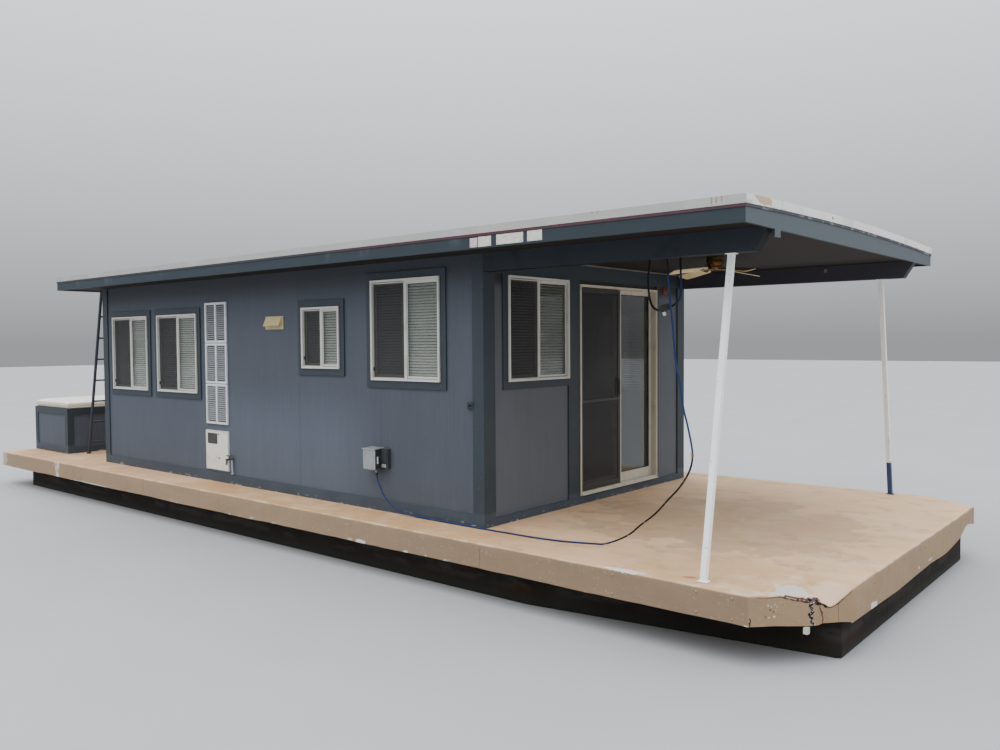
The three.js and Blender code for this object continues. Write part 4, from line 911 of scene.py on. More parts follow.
def add_window(name, tilt):
    wall = name.split("_")[1]
    place = WALLS[wall]
    u0, u1, z0, z1 = wall_span(wall, name + "_frame")
    middle = (u0 + u1) / 2
    kit = Kit(WHITE_FRAME, SCREEN_FRAME, BLACK_PLASTIC, SCREEN, GAP_SHADE_BLACK, place=place)
    kit.ring(u0, u1, z0, z1, (0.009,) * 4, 0.0275, 0.0305, 0, 0.001)
    inner = (u0 + FRAME_BORDER, u1 - FRAME_BORDER, z0 + FRAME_BORDER, z1 - FRAME_BORDER)
    left = (inner[0], middle - MULLION / 2, inner[2], inner[3])
    right = (middle + MULLION / 2, inner[1], inner[2], inner[3])
    # The ring in slot 4 is black painted shade in the gap round the left half.
    kit.ring(*left, (0.01, 0.003, 0.004, 0.005), -0.006, -0.001, 4)
    kit.box((left[0] + 0.001, -0.002, left[3] - 0.014), (left[1] - 0.001, 0.01, left[3] - 0.005), 0.002)
    kit.box((left[0] + 0.001, -0.002, left[2]), (left[1] - 0.001, 0.014, left[2] + 0.007), 0.002)
    screen = (left[0] + 0.011, left[1] - 0.004, left[2] + 0.007, left[3] - 0.015)
    kit.ring(*screen, (0.01, 0.01, 0.011, 0.01), 0.0, 0.004, 1, 0.001)
    kit.sheet(*screen, 0.002, 3)
    kit.ring(left[0] + 0.001, left[1] - 0.001, left[2] + 0.001, left[3] - 0.001, (0.034, 0.024, 0.034, 0.026),
             -0.0075, -0.002, 0, 0.001)
    # The ring in slot 4 is black painted shade in the gap round the right half.
    kit.ring(*right, (0.004, 0.002, 0.003, 0.013), -0.0075, -0.005, 4)
    kit.ring(right[0] + 0.004, right[1] - 0.002, right[2] + 0.003, right[3] - 0.001,
             (0.008, 0.01, 0.021, 0.026), -0.0075, 0.0, 0, 0.002)
    kit.box((right[0] + 0.001, -0.001, right[3] - 0.013), (right[1] - 0.001, 0.018, right[3] - 0.001), 0.002)
    kit.box((middle - 0.003, 0.0035, inner[2] + 0.008), (middle + 0.003, 0.0065, inner[3] - 0.014), 0.001)
    clip = left[2] + 0.085
    kit.box((left[0] - 0.001, 0.003, clip - 0.016), (left[0] + 0.014, 0.013, clip + 0.016), 0.002, 2)
    kit.done(name + "_sashes", slot="white_frame")
    add_blind(name + "_blind", place, u0 + 0.016, u1 - 0.016, z0 + 0.016, z1 - 0.016, tilt)


BLIND_PITCH = 0.026


def add_blind(name, place, u0, u1, z0, z1, tilt):
    shake = random.Random(len(name) * 7 + int(u0 * 100))
    kit = Kit(BLIND, place=place)
    kit.box((u0, -0.064, z1 - 0.028), (u1, -0.034, z1), 0.003)
    along = place(u1, 0, 0) - place(u0, 0, 0)
    z = z1 - 0.046
    while z > z0 + 0.03:
        angle = tilt + shake.uniform(-0.05, 0.05)
        rise, reach = 0.0125 * math.sin(angle), 0.0125 * math.cos(angle)
        z_here = z + shake.uniform(-0.001, 0.001)
        kit.prism([place(u0, -0.049 - reach, z_here + rise), place(u0, -0.047, z_here + 0.0022),
                   place(u0, -0.049 + reach, z_here - rise), place(u0, -0.048, z_here + 0.0008)], along)
        z -= BLIND_PITCH
    kit.box((u0, -0.06, z0), (u1, -0.038, z0 + 0.016), 0.003)
    kit.done(name, slot="white_frame")


for name in sorted(n[:-6] for n in NODES if n.startswith("window_") and n.endswith("_frame")):
    add_window(name, 0.62 if name == "window_front" else 0.86)


# The stack of louvre vents: three frames with slats over a dark back of painted shade

LOUVRE_SECTIONS = 3
LOUVRE_PITCH = 0.0235
VENT_WHITE = plain_paint("louvre_frame", (206, 210, 212), (172, 176, 176), rough=0.5, scale=16)
# The slats are the vent white painted grey, as shade.
SHADED_VENT_SLAT = plain_paint("louvre_slat_shaded", (138, 142, 146), (116, 120, 122), rough=0.55, scale=16)
# The back is a dark sheet of painted shade behind the slats.
VENT_SHADE_BACK = plain_paint("louvre_shade_back", (44, 46, 49), (62, 62, 62), rough=0.9)


def add_louvres():
    place = WALLS["starboard"]
    u0, u1, z0, z1 = wall_span("starboard", "louvre_vent_stack")
    middle = (u0 + u1) / 2
    kit = Kit(VENT_WHITE, SHADED_VENT_SLAT, VENT_SHADE_BACK, place=place)
    high = (z1 - z0) / LOUVRE_SECTIONS
    shake = random.Random(5)
    for k in range(LOUVRE_SECTIONS):
        a, b = z0 + k * high + 0.003, z0 + (k + 1) * high - 0.003
        kit.box((u0 + 0.004, 0.0004, a + 0.002), (u1 - 0.004, 0.002, b - 0.002), 0, 2)
        kit.ring(u0, u1, a, b, (0.026, 0.026, 0.027, 0.027), 0.0004, 0.0215, 0, 0.0025)
        kit.box((middle - 0.014, 0.002, a + 0.026), (middle + 0.014, 0.0205, b - 0.026), 0.002)
        count = int((high - 0.066) / LOUVRE_PITCH)
        for i in range(count):
            z = a + 0.036 + (i + 0.5) * (b - a - 0.072) / count
            for left, right in ((u0 + 0.025, middle - 0.013), (middle + 0.013, u1 - 0.025)):
                lean = shake.uniform(-0.0012, 0.0012)
                kit.prism([place(left, 0.003, z + 0.0085 + lean), place(left, 0.005, z + 0.0095 + lean),
                           place(left, 0.0165, z - 0.005), place(left, 0.016, z - 0.0075)],
                          place(right, 0, 0) - place(left, 0, 0), 1)
    kit.done("louvre_vents", slot="vent_white", replaces=["louvre_vent_stack"])


add_louvres()


# Patio door: screen leaf, lock stile with its pull, nail fin

def add_patio_door():
    place = WALLS["front"]
    u0, u1, z0, z1 = wall_span("front", "patio_screen")
    kit = Kit(SCREEN_BROWN, SCREEN, BLACK_PLASTIC, place=place)
    kit.ring(u0, u1, z0, z1, (0.026, 0.042, 0.056, 0.034), -0.002, 0.01, 0, 0.002)
    kit.box((u0 + 0.02, 0.0, z0 + 0.86), (u1 - 0.03, 0.008, z0 + 0.885), 0.002)
    kit.sheet(u0 + 0.02, u1 - 0.04, z0 + 0.05, z1 - 0.03, 0.004, 1)
    kit.box((u1 - 0.036, 0.009, 1.715), (u1 - 0.012, 0.0195, 1.875), 0.003, 2)
    kit.done("patio_screen_leaf", "patio_screen", "screen_mesh", replaces=["patio_screen"])

    s1 = wall_span("front", "patio_sliding_sash")[1]
    kit = Kit(CREAM_FRAME, BLACK_PLASTIC, WHITE_FRAME, place=place)
    kit.box((s1 - 0.128, -0.034, z0 + 0.1), (s1 - 0.0485, -0.014, z1 - 0.055), 0.003)
    kit.box((s1 - 0.112, -0.016, 1.703), (s1 - 0.086, -0.0055, 1.891), 0.003, 1)
    kit.box((s1 - 0.036, -0.01, z0 + 0.012), (s1 - 0.002, -0.0045, z1 - 0.012), 0.0015, 2)
    kit.done("patio_lock_stile", "patio_sliding_sash", "cream_frame")

    f0, f1, g0, g1 = wall_span("front", "patio_fixed_sash")
    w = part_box("patio_fixed_sash")[1].x - FRONT_X
    kit = Kit(CREAM_FRAME, WHITE_FRAME, GAP_SHADE_BLACK, place=place)
    # The thin black ring round the pane is painted shade in its gap.
    kit.ring(f0 + 0.043, f1 - 0.043, g0 + 0.093, g1 - 0.043, (0.004,) * 4, w - 0.006, w - 0.001, 2)
    kit.box((f1 - 0.018, w - 0.002, g0 + 0.004), (f1 - 0.004, w + 0.004, g1 - 0.004), 0.0015, 1)
    kit.done("patio_fixed_trim", slot="cream_frame")

    u0, u1, z0, z1 = wall_span("front", "patio_door_frame")
    kit = Kit(CREAM_FRAME, place=place)
    kit.ring(u0, u1, z0, z1, (0.01, 0.01, 0.016, 0.01), 0.0195, 0.025, 0, 0.002)
    kit.box((u0 + 0.01, 0.02, z0 + 0.002), (u1 - 0.01, 0.046, z0 + 0.016), 0.004)
    kit.done("patio_frame_fin", slot="cream_frame")


add_patio_door()


# Deck and skirt: one worn shell with a sagging, torn corner at the starboard bow

DECK_OUTLINE = [
    (-6.05, -2.155), (5.605, -2.155), (6.05, -1.591), (6.05, 1.836), (5.62, 2.155), (-6.05, 2.155)
]
CHAMFER_EDGE, BOW_EDGE = 1, 2
EDGE_RADIUS = 0.016
UNDERSIDE = 0.04
EDGE_PITCH, TORN_PITCH = 0.11, 0.012
SAG = ((0.0, -0.002), (0.122, -0.013), (0.217, -0.01), (0.313, -0.039), (0.403, -0.055), (0.479, -0.061),
       (0.528, -0.084), (0.563, -0.105), (0.594, -0.092), (0.619, -0.077), (0.675, -0.037), (0.717, -0.006))
CHAMFER_BOTTOM = ((0.0, -0.201), (0.178, -0.208), (0.425, -0.226), (0.48, -0.224), (0.508, -0.213),
                  (0.62, -0.213), (0.717, -0.219))
BOW_BOTTOM = ((0.0, -0.226), (1.04, -0.243), (1.88, -0.226), (2.26, -0.239), (2.45, -0.236), (2.9, -0.2),
              (3.08, -0.134), (3.2, -0.128), (3.427, -0.165))


def along_table(table, s):
    for (s0, v0), (s1, v1) in zip(table, table[1:]):
        if s <= s1:
            return v0 + (v1 - v0) * max(0.0, (s - s0) / (s1 - s0))
    return table[-1][1]


def inset_corners(by):
    """The deck outline moved in by a distance, with mitred corners."""
    n = len(DECK_OUTLINE)
    corners = []
    for i in range(n):
        here = Vector(DECK_OUTLINE[i])
        back = (here - Vector(DECK_OUTLINE[i - 1])).normalized()
        ahead = (Vector(DECK_OUTLINE[(i + 1) % n]) - here).normalized()
        back_in, ahead_in = Vector((-back.y, back.x)), Vector((-ahead.y, ahead.x))
        mitre = (back_in + ahead_in) / (1 + back_in.dot(ahead_in))
        corners.append(here + mitre * by)
    return corners


def deck_stations():
    """Edge number, share along the edge and distance along it, closer together at the torn corner."""
    stations = []
    n = len(DECK_OUTLINE)
    for edge in range(n):
        long = (Vector(DECK_OUTLINE[(edge + 1) % n]) - Vector(DECK_OUTLINE[edge])).length
        pitch = TORN_PITCH if edge == CHAMFER_EDGE else EDGE_PITCH
        count = max(2, round(long / pitch))
        stations += [(edge, k / count, long * k / count, long) for k in range(count)]
    return stations


def add_deck():
    stations = deck_stations()
    n = len(DECK_OUTLINE)
    tops, bottoms, bulges = [], [], []
    for edge, share, s, long in stations:
        sag = along_table(SAG, s) if edge == CHAMFER_EDGE else 0.0
        if edge == 0 and long - s < 0.9:
            sag = -0.008 * (1 - (long - s) / 0.9) ** 2
        if edge == BOW_EDGE:
            sag = -0.006 * (1 - s / 0.25) if s < 0.25 else 0.01 * max(0.0, (s - 2.9) / 0.527)
        wave = 0.006 * field.noise(
            (s * 1.3, edge * 7.3, 0.5)
        ) + 0.003 * field.noise((s * 5.1, edge * 3.1, 1.5))
        bottom = -SKIRT + wave
        if edge == CHAMFER_EDGE:
            bottom = along_table(CHAMFER_BOTTOM, s) + wave * 0.6
        elif edge == BOW_EDGE:
            bottom = along_table(BOW_BOTTOM, s) + wave * 0.6
        elif edge == BOW_EDGE + 1:
            bottom = -0.165 - 0.03 * share
        tops.append(DECK + sag)
        bottoms.append(DECK + bottom)
        bulges.append(0.005 * field.noise((s * 1.1, edge * 5.0, 4.0)))
    rings = [(0.6, 0.0, "top"), (0.4, 0.03, "top"), (0.25, 0.12, "top"), (0.15, 0.3, "top"),
             (0.08, 0.62, "top"), (0.035, 0.86, "top"), (EDGE_RADIUS, 1.0, "top")]
    rings += [(EDGE_RADIUS * (1 - math.sin(a)), EDGE_RADIUS * (1 - math.cos(a)), "edge")
              for a in (0.5, 1.05, math.pi / 2)]
    rings += [(0.0, share, "side") for share in (0.12, 0.35, 0.6, 0.82, 1.0)]
    rings += [(0.006, 1.0, "side"), (0.006, 0.3, "side"), (0.6, 0.3, "under")]
    points = []
    for by, value, kind in rings:
        corners = inset_corners(by)
        for i, (edge, share, s, _) in enumerate(stations):
            flat = corners[edge].lerp(corners[(edge + 1) % n], share)
            if kind == "top":
                z = DECK + (tops[i] - DECK) * value
            elif kind == "edge":
                z = tops[i] - value
            elif kind == "side":
                z = (tops[i] - EDGE_RADIUS) + (bottoms[i] - tops[i] + EDGE_RADIUS) * value
            else:
                z = DECK - UNDERSIDE
            if kind == "side":
                a, b = Vector(DECK_OUTLINE[edge]), Vector(DECK_OUTLINE[(edge + 1) % n])
                normal = Vector((b.y - a.y, a.x - b.x)).normalized()
                bell = math.sin(math.pi * min(value, 1.0))
                if edge != CHAMFER_EDGE:
                    flat = flat + normal * (bulges[i] * bell)
            points.append((flat.x, flat.y, z))
    kit = Kit(deck_paint("deck_sand"))
    kit.add(points, hoops(len(rings), len(stations)))
    kit.done(
        "deck_shell", slot="deck_paint", smooth=40, replaces=["deck_plate", "skirt_starboard", "skirt_bow",
        "skirt_port", "skirt_stern"]
    )


RIVET_X = (-5.8, -4.75, -3.5, -2.25, -1.0, 0.245, 1.495, 2.75, 3.361, 3.992, 4.617, 5.253, 5.5)


def add_rivets():
    kit = Kit(deck_paint("rivet_sand"))
    dome = [(0.0075, 0.0), (0.0072, 0.002), (0.005, 0.0042), (0.002, 0.005)]
    for side in (-1, 1):
        y = side * (DECK_HALF + 0.001)
        for x in RIVET_X:
            for z in (DECK - 0.042, DECK - 0.172):
                kit.lathe(dome, (x, y, z), (0, side, 0), 10)
        kit.box((3.33, y, DECK - 0.19), (3.395, y + side * 0.0025, DECK - 0.018), 0.001)
    for y, drop in ((-1.143, 0.067), (-0.462, 0.21), (0.134, 0.061), (0.9, 0.07), (1.5, 0.06)):
        kit.lathe(dome, (DECK_BOW + 0.001, y, DECK - drop), (1, 0, 0), 10)
    for y in (-1.7, -0.85, 0.0, 0.85, 1.7):
        for drop in (0.045, 0.17):
            kit.lathe(dome, (DECK_AFT - 0.001, y, DECK - drop), (-1, 0, 0), 10)
    kit.done("skirt_rivets", slot="skirt_paint")


GAP_WIDTH = ((0.06, 0.0008), (0.2, 0.0016), (0.3, 0.0034), (0.42, 0.004), (0.45, 0.0085), (0.52, 0.008),
             (0.55, 0.0022), (0.6, 0.003), (0.66, 0.0022), (0.72, 0.0008))
# The black of the cracks and the gap is painted shade.
TORN_SHADE_BLACK = plain_paint("torn_painted_shade", (20, 18, 17), (52, 42, 36), rough=0.95, scale=60, bump=0.001)
TORN_RUST = plain_paint("torn_rust", (96, 54, 38), (60, 40, 32), rough=0.95, scale=70, bump=0.001)
BARE_METAL = plain_paint("bare_metal", (196, 198, 194), (150, 132, 112), rough=0.6, metal=0.2, scale=50)
SCRAPS = 46


def add_torn_corner():
    """The burst chamfer plate: its cracks and the gap under the bent deck edge as black strips of painted
    shade with some rust, and scraps of bare metal.
    """
    start = Vector(DECK_OUTLINE[CHAMFER_EDGE])
    along = (Vector(DECK_OUTLINE[CHAMFER_EDGE + 1]) - start).normalized()
    inward = Vector((-along.y, along.x))

    def at(s, z, out=0.0):
        flat = start + along * s - inward * out
        return Vector((flat.x, flat.y, z))

    kit = Kit(TORN_SHADE_BLACK, TORN_RUST, BARE_METAL)
    shake = random.Random(11)

    def scrap(corners, out, slot):
        kit.prism([at(a, z, out) for a, z in corners], -Vector((inward.x, inward.y, 0)) * 0.0012, slot)

    def crack(points, slot=0, out=0.0008):
        """A jagged strip through (s, z, half width) rows; in slot 0 it is black painted shade."""
        left = [(a - w * shake.uniform(0.6, 1.3), z + shake.uniform(-0.003, 0.003)) for a, z, w in points]
        right = [(a + w * shake.uniform(0.6, 1.3), z + shake.uniform(-0.003, 0.003)) for a, z, w in points]
        for i in range(len(points) - 1):
            scrap([left[i], right[i], right[i + 1], left[i + 1]], out, slot)

    rows = [(0.413, 0.64, 0.006), (0.424, 0.629, 0.014), (0.436, 0.617, 0.01), (0.428, 0.604, 0.017),
            (0.42, 0.592, 0.01), (0.434, 0.581, 0.014), (0.428, 0.569, 0.006), (0.44, 0.556, 0.012),
            (0.428, 0.544, 0.016), (0.418, 0.531, 0.008), (0.43, 0.519, 0.011), (0.44, 0.507, 0.005),
            (0.428, 0.497, 0.01), (0.436, 0.485, 0.014), (0.446, 0.473, 0.006), (0.45, 0.466, 0.004)]
    crack(rows)
    crack([(0.462, 0.629, 0.01), (0.47, 0.616, 0.014), (0.474, 0.604, 0.008), (0.48, 0.594, 0.003)])
    crack([(0.486, 0.586, 0.002), (0.494, 0.566, 0.006), (0.504, 0.549, 0.009), (0.506, 0.528, 0.003),
           (0.512, 0.505, 0.004), (0.507, 0.48, 0.002)], 1)
    crack([(0.012, 0.541, 0.004), (0.017, 0.526, 0.002), (0.01, 0.512, 0.005), (0.014, 0.498, 0.003),
           (0.011, 0.489, 0.004)])
    steps = [0.06 + 0.66 * k / 44 for k in range(45)]
    gap = []
    for a in steps:
        wide = along_table(GAP_WIDTH, a) * (0.5 + shake.random())
        gap.append((a, DECK + along_table(SAG, a) - 0.012 - wide + shake.uniform(-0.002, 0.002), wide))
    for (a, z, w), (b, y, v) in zip(gap, gap[1:]):
        scrap([(a, z - w), (b, y - v), (b, y + v), (a, z + w)], 0.001, 1 if int(a * 90) % 4 == 0 else 0)
    for a, z in ((0.335, 0.64), (0.362, 0.634), (0.394, 0.628), (0.446, 0.621), (0.466, 0.64), (0.25, 0.668)):
        scrap([(a - 0.009, z - 0.004), (a + 0.006, z - 0.007), (a + 0.01, z + 0.004), (a - 0.004, z + 0.006)],
              0.0022, 1)
    for _ in range(SCRAPS):
        a, z, w = rows[shake.randrange(1, len(rows) - 1)]
        a, z = a + shake.uniform(-1.5, 1.5) * w, z + shake.uniform(-0.008, 0.008)
        r = shake.uniform(0.001, 0.0032)
        scrap([(a - r, z - r * 0.8), (a + r, z - r * 0.5), (a + r * 0.7, z + r), (a - r * 0.8, z + r * 0.7)],
              0.0024, 2)
    for a, z, r in (
        (0.136, 0.616, 0.01), (0.158, 0.606, 0.007), (0.182, 0.618, 0.008), (0.196, 0.603, 0.006),
        (0.15, 0.588, 0.008), (0.172, 0.574, 0.007), (0.188, 0.584, 0.005), (0.118, 0.546, 0.006),
        (0.142, 0.541, 0.009), (0.176, 0.543, 0.011), (0.205, 0.556, 0.004), (0.222, 0.63, 0.006),
        (0.236, 0.612, 0.004)
    ):
        corners = [(a + r * shake.uniform(0.6, 1.1) * math.cos(t),
                    z + r * 0.7 * shake.uniform(0.5, 1.1) * math.sin(t))
                   for t in (k * math.pi / 4 for k in range(8))]
        scrap(corners, 0.0003, 2 if shake.random() < 0.7 else 1)
    kit.box(at(0.372, 0.461, 0.004), at(0.372, 0.461, 0.004) + Vector((0.03, 0.037, -0.04)), 0.001, 2)
    kit.tube([at(0.62, 0.6, 0.0004), at(0.622, 0.48, 0.0004)], 0.0008, 6, 1)
    kit.done("torn_corner_scraps", slot="skirt_paint", smooth=20)


add_deck()
add_rivets()
add_torn_corner()


# Things on the starboard wall and on the fascia

GRILLE = plain_paint("grille_grey", (64, 62, 58), (42, 40, 38), rough=0.6, scale=20)
HATCH_CREAM = plain_paint("hatch_rim_cream", (204, 201, 190), (180, 174, 158), rough=0.45, scale=8)
BOX_GREY = plain_paint("box_lid_grey", (148, 152, 152), (112, 112, 106), rough=0.45, metal=0.3, scale=26)
BOX_DARK = plain_paint("box_side_dark", (44, 50, 52), (66, 68, 66), rough=0.5, metal=0.2, scale=18)
HOOD_BEIGE = plain_paint("hood_flap_beige", (168, 152, 100), (140, 120, 80), rough=0.6)
BEAD = plain_paint("ceiling_bead", (112, 108, 102), (80, 76, 72), rough=0.7)


def add_fascia_plates():
    kit = Kit(PLATE, PLATE_PINK, STEEL)
    y = -FASCIA_HALF
    for x0, x1, z0, z1, slot in ((3.313, 3.388, 2.994, 3.066, 1), (3.397, 3.53, 2.993, 3.07, 0),
                                 (3.583, 3.843, 2.996, 3.072, 0), (3.881, 4.018, 2.998, 3.074, 0)):
        kit.box((x0, y - 0.0028, z0), (x1, y - 0.0002, z1), 0.0008, slot)
        for x in (x0 + 0.012, x1 - 0.012):
            kit.lathe([(0.004, 0), (0.0035, 0.0015), (0.001, 0.002)], (x, y - 0.0028, z0 + 0.01), (0, -1, 0),
                      8, 2)
    kit.done("fascia_plates", slot="white_paint")


def add_hatch_parts():
    place = WALLS["starboard"]
    kit = Kit(BLACK_PLASTIC, GRILLE, STEEL, place=place)
    x0, x1, z0, z1 = -1.142, -0.947, 1.121, 1.243
    kit.ring(x0, x1, z0, z1, (0.008,) * 4, 0.016, 0.02, 1, 0.001)
    kit.box((x0 + 0.006, 0.0163, z0 + 0.006), (x1 - 0.006, 0.017, z1 - 0.006), 0, 0)
    for i in range(7):
        z = z0 + 0.016 + i * 0.0148
        kit.prism([place(x0 + 0.007, 0.0168, z), place(x0 + 0.007, 0.0198, z + 0.001),
                   place(x0 + 0.007, 0.0168, z + 0.009)], (x1 - x0 - 0.014, 0, 0), 1)
    kit.lathe([(0.011, 0), (0.01, 0.003), (0.004, 0.004)], place(-0.915, 0.0163, 0.962), (0, -1, 0), 16, 0)
    kit.lathe([(0.009, 0), (0.008, 0.004), (0.003, 0.006)], place(-0.922, 0.0163, 1.232), (0, -1, 0), 12, 0)
    h0, h1, v0, v1 = wall_span("starboard", "access_hatch")
    kit.ring(h0 + 0.002, h1 - 0.002, v0 + 0.002, v1 - 0.002, (0.01,) * 4, 0.016, 0.0185, 3, 0.001)
    kit.materials.append(HATCH_CREAM)
    kit.done("access_hatch_parts", "access_hatch", "door_paint")
    hinge = Kit(STEEL)
    hinge.rod((h0 - 0.004, -HALF - 0.01, v0 + 0.05), (h0 - 0.004, -HALF - 0.01, v0 + 0.12), 0.0045, 10)
    hinge.rod((h0 - 0.004, -HALF - 0.01, v1 - 0.12), (h0 - 0.004, -HALF - 0.01, v1 - 0.05), 0.0045, 10)
    hinge.done("access_hatch_hinges", slot="dark_metal")


def add_power_box_parts():
    kit = Kit(BOX_GREY, BOX_DARK, WHITE_PLASTIC, BLACK_PLASTIC)
    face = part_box("power_box")[0].y
    kit.box((1.671 - 0.003, face - 0.004, 1.083 + 0.004), (1.834 + 0.003, face + 0.0005, 1.28 - 0.006), 0.003,
            0)
    kit.prism([(1.664, -HALF - 0.001, 1.286), (1.664, face - 0.01, 1.279), (1.664, face - 0.012, 1.272),
               (1.664, -HALF - 0.001, 1.28)], (0.177, 0, 0), 0)
    kit.box((1.8335, -1.826, 1.095), (1.8375, -HALF - 0.002, 1.272), 0.001, 1)
    kit.box((1.837, -1.818, 1.139), (1.844, -1.8, 1.206), 0.003, 2)
    kit.box((1.836, -HALF - 0.0435, 1.1), (1.929, -HALF - 0.038, 1.28), 0.002, 1)
    kit.box((1.85, -HALF - 0.049, 1.15), (1.915, -HALF - 0.043, 1.262), 0.003, 1)
    kit.box((1.853, -HALF - 0.052, 1.104), (1.912, -HALF - 0.043, 1.138), 0.004, 0)
    for z in (1.112, 1.266):
        kit.lathe([(0.004, 0), (0.003, 0.002)], (1.8825, -HALF - 0.0435, z), (0, -1, 0), 8, 3)
    kit.lathe([(0.0145, 0.0), (0.015, 0.004), (0.0125, 0.01), (0.0095, 0.026), (0.0076, 0.034)],
              (1.806, -1.79, 1.056), (0, 0, -1), 20, 3)
    kit.done("power_box_parts", slot="grey_metal")


def add_bib_pipe():
    kit = Kit(PVC, BIB_METAL)
    kit.tube([(-0.655, -1.745, 0.962), (-0.652, -1.744, 0.9), (-0.645, -1.744, 0.83),
              (-0.642, -1.744, 0.806)], 0.0115, 14)
    kit.lathe([(0.017, 0), (0.017, 0.012), (0.012, 0.014)], (-0.642, -1.744, 0.804), (0, 0, 1), 16)
    handle = (-0.665, -HALF - 0.0483, 1.012)
    for k in range(6):
        a = k * math.pi / 3
        kit.lathe([(0.006, -0.004), (0.008, 0.0), (0.006, 0.004)],
                  (handle[0] + 0.03 * math.cos(a), handle[1] + 0.03 * math.sin(a), handle[2] + 0.003),
                  (0, 0, 1), 8, 1)
    kit.done("bib_pipe", slot="brass")


def add_wall_latch():
    place = WALLS["starboard"]
    kit = Kit(DARK_METAL, place=place)
    kit.box((2.9, 0.015, 1.69), (2.972, 0.019, 1.75), 0.002)
    kit.rod(place(2.936, 0.018, 1.722), place(2.936, 0.04, 1.722), 0.007)
    kit.tube([place(2.936, 0.036, 1.722), place(2.95, 0.04, 1.736), place(2.974, 0.041, 1.742),
              place(2.986, 0.038, 1.728)], [0.006, 0.006, 0.005, 0.004], 10)
    kit.done("wall_latch", slot="dark_metal")


def add_vent_hood_parts():
    kit = Kit(HOOD_BEIGE, STEEL)
    low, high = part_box("vent_hood")
    for x in (low.x + 0.007, high.x - 0.007):
        for z in (low.z + 0.012, high.z - 0.014):
            kit.lathe([(0.005, 0), (0.004, 0.002), (0.001, 0.003)], (x, -HALF - 0.0085, z), (0, -1, 0), 8, 1)
    kit.box((low.x + 0.018, low.y - 0.0022, low.z + 0.033), (high.x - 0.018, low.y + 0.0008, low.z + 0.041),
            0.0008)
    for x in (low.x + 0.055, low.x + 0.155, high.x - 0.055):
        kit.box((x - 0.0012, low.y + 0.012, low.z + 0.044), (x + 0.0012, -HALF - 0.01, low.z + 0.07), 0.0004)
    kit.done("vent_hood_flap", slot="vent_beige")


def add_front_wall_parts():
    place = WALLS["front"]
    kit = Kit(RUST, BEAD, DARK_METAL)
    kit.lathe([(0.048, 0.0), (0.048, 0.01), (0.04, 0.018), (0.022, 0.022), (0.018, 0.034), (0.006, 0.036)],
              place(1.321, 0.0003, 2.814), (1, 0, 0), 28)
    kit.box((FRONT_X + 0.016, -1.56, CEILING - 0.014), (FRONT_X + 0.028, 1.56, CEILING - 0.0005), 0.003, 1)
    kit.box((4.706, 1.652 - 0.018, 2.938), (4.736, 1.652 - 0.0005, 2.974), 0.004, 1)
    kit.done("porch_wall_fixtures", slot="dark_metal")


def add_rear_door_parts():
    place = WALLS["rear"]
    u0, u1, z0, z1 = wall_span("rear", "rear_door")
    out = AFT_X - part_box("rear_door")[0][0]
    kit = Kit(STEEL, place=place)
    knob = (u0 + 0.065, z0 + 0.94)
    kit.lathe([(0.03, 0.0), (0.03, 0.004), (0.013, 0.008), (0.011, 0.028), (0.023, 0.034), (0.027, 0.045),
               (0.022, 0.055), (0.008, 0.059)], place(knob[0], out - 0.0005, knob[1]), (-1, 0, 0), 28)
    kit.lathe([(0.027, 0.0), (0.026, 0.01), (0.013, 0.012), (0.011, 0.016)],
              place(knob[0], out - 0.0005, knob[1] + 0.14), (-1, 0, 0), 24)
    for z in (z0 + 0.18, (z0 + z1) / 2, z1 - 0.18):
        kit.rod(place(u1 + 0.002, out + 0.004, z - 0.05), place(u1 + 0.002, out + 0.004, z + 0.05), 0.006, 12)
        kit.box((u1 - 0.038, out - 0.0005, z - 0.05), (u1 - 0.002, out + 0.002, z + 0.05), 0.0008)
    kit.done("rear_door_knob_and_hinges", "rear_door", "grey_metal")


add_fascia_plates()
add_hatch_parts()
add_power_box_parts()
add_bib_pipe()
add_wall_latch()
add_vent_hood_parts()
add_front_wall_parts()
add_rear_door_parts()


# The padded locker lids: a foam block blown up by the cloth solver, then seams

LID_SMALLER = 0.004
LID_CROWN = 0.02
LID_VOXEL = 0.032
LID_REACH = 0.014
LID_THICK = 0.096
SEAM_HALF, SEAM_DEPTH = 0.008, 0.0022
WELT_POINTS, WELT_RADIUS = 160, 0.003
SWELL_STEPS = 20
VINYL_CLOTH = dict(
    quality=4, mass=0.3, tension_stiffness=12, compression_stiffness=12, shear_stiffness=5,
    bending_stiffness=0.4, use_pressure=True, uniform_pressure_force=4, vertex_group_mass="underside"
)


VINYL_SEAM = plain_paint("vinyl_welt", (206, 198, 178), (176, 166, 144), rough=0.5, scale=30)


def settle(piece):
    """Puts what the piece's modifiers make into its mesh."""
    shaped = bpy.data.meshes.new_from_object(piece.evaluated_get(bpy.context.evaluated_depsgraph_get()))
    piece.modifiers.clear()
    piece.data = shaped


def swell(piece, floor):
    """A short cloth run with air inside; the underside stays where it is, and no point goes far."""
    pinned = piece.vertex_groups.new(name="underside")
    pinned.add([v.index for v in piece.data.vertices if v.co.z < floor + 0.008], 1.0, "REPLACE")
    start = [v.co.copy() for v in piece.data.vertices]
    cloth = piece.modifiers.new("air", "CLOTH")
    for key, value in VINYL_CLOTH.items():
        setattr(cloth.settings, key, value)
    cloth.settings.effector_weights.gravity = 0
    cloth.point_cache.frame_start, cloth.point_cache.frame_end = 1, SWELL_STEPS
    for step in range(1, SWELL_STEPS + 1):
        bpy.context.scene.frame_set(step)
    settle(piece)
    for v, old in zip(piece.data.vertices, start):
        move = v.co - old
        if move.length > LID_REACH:
            v.co = old + move * (LID_REACH / move.length)


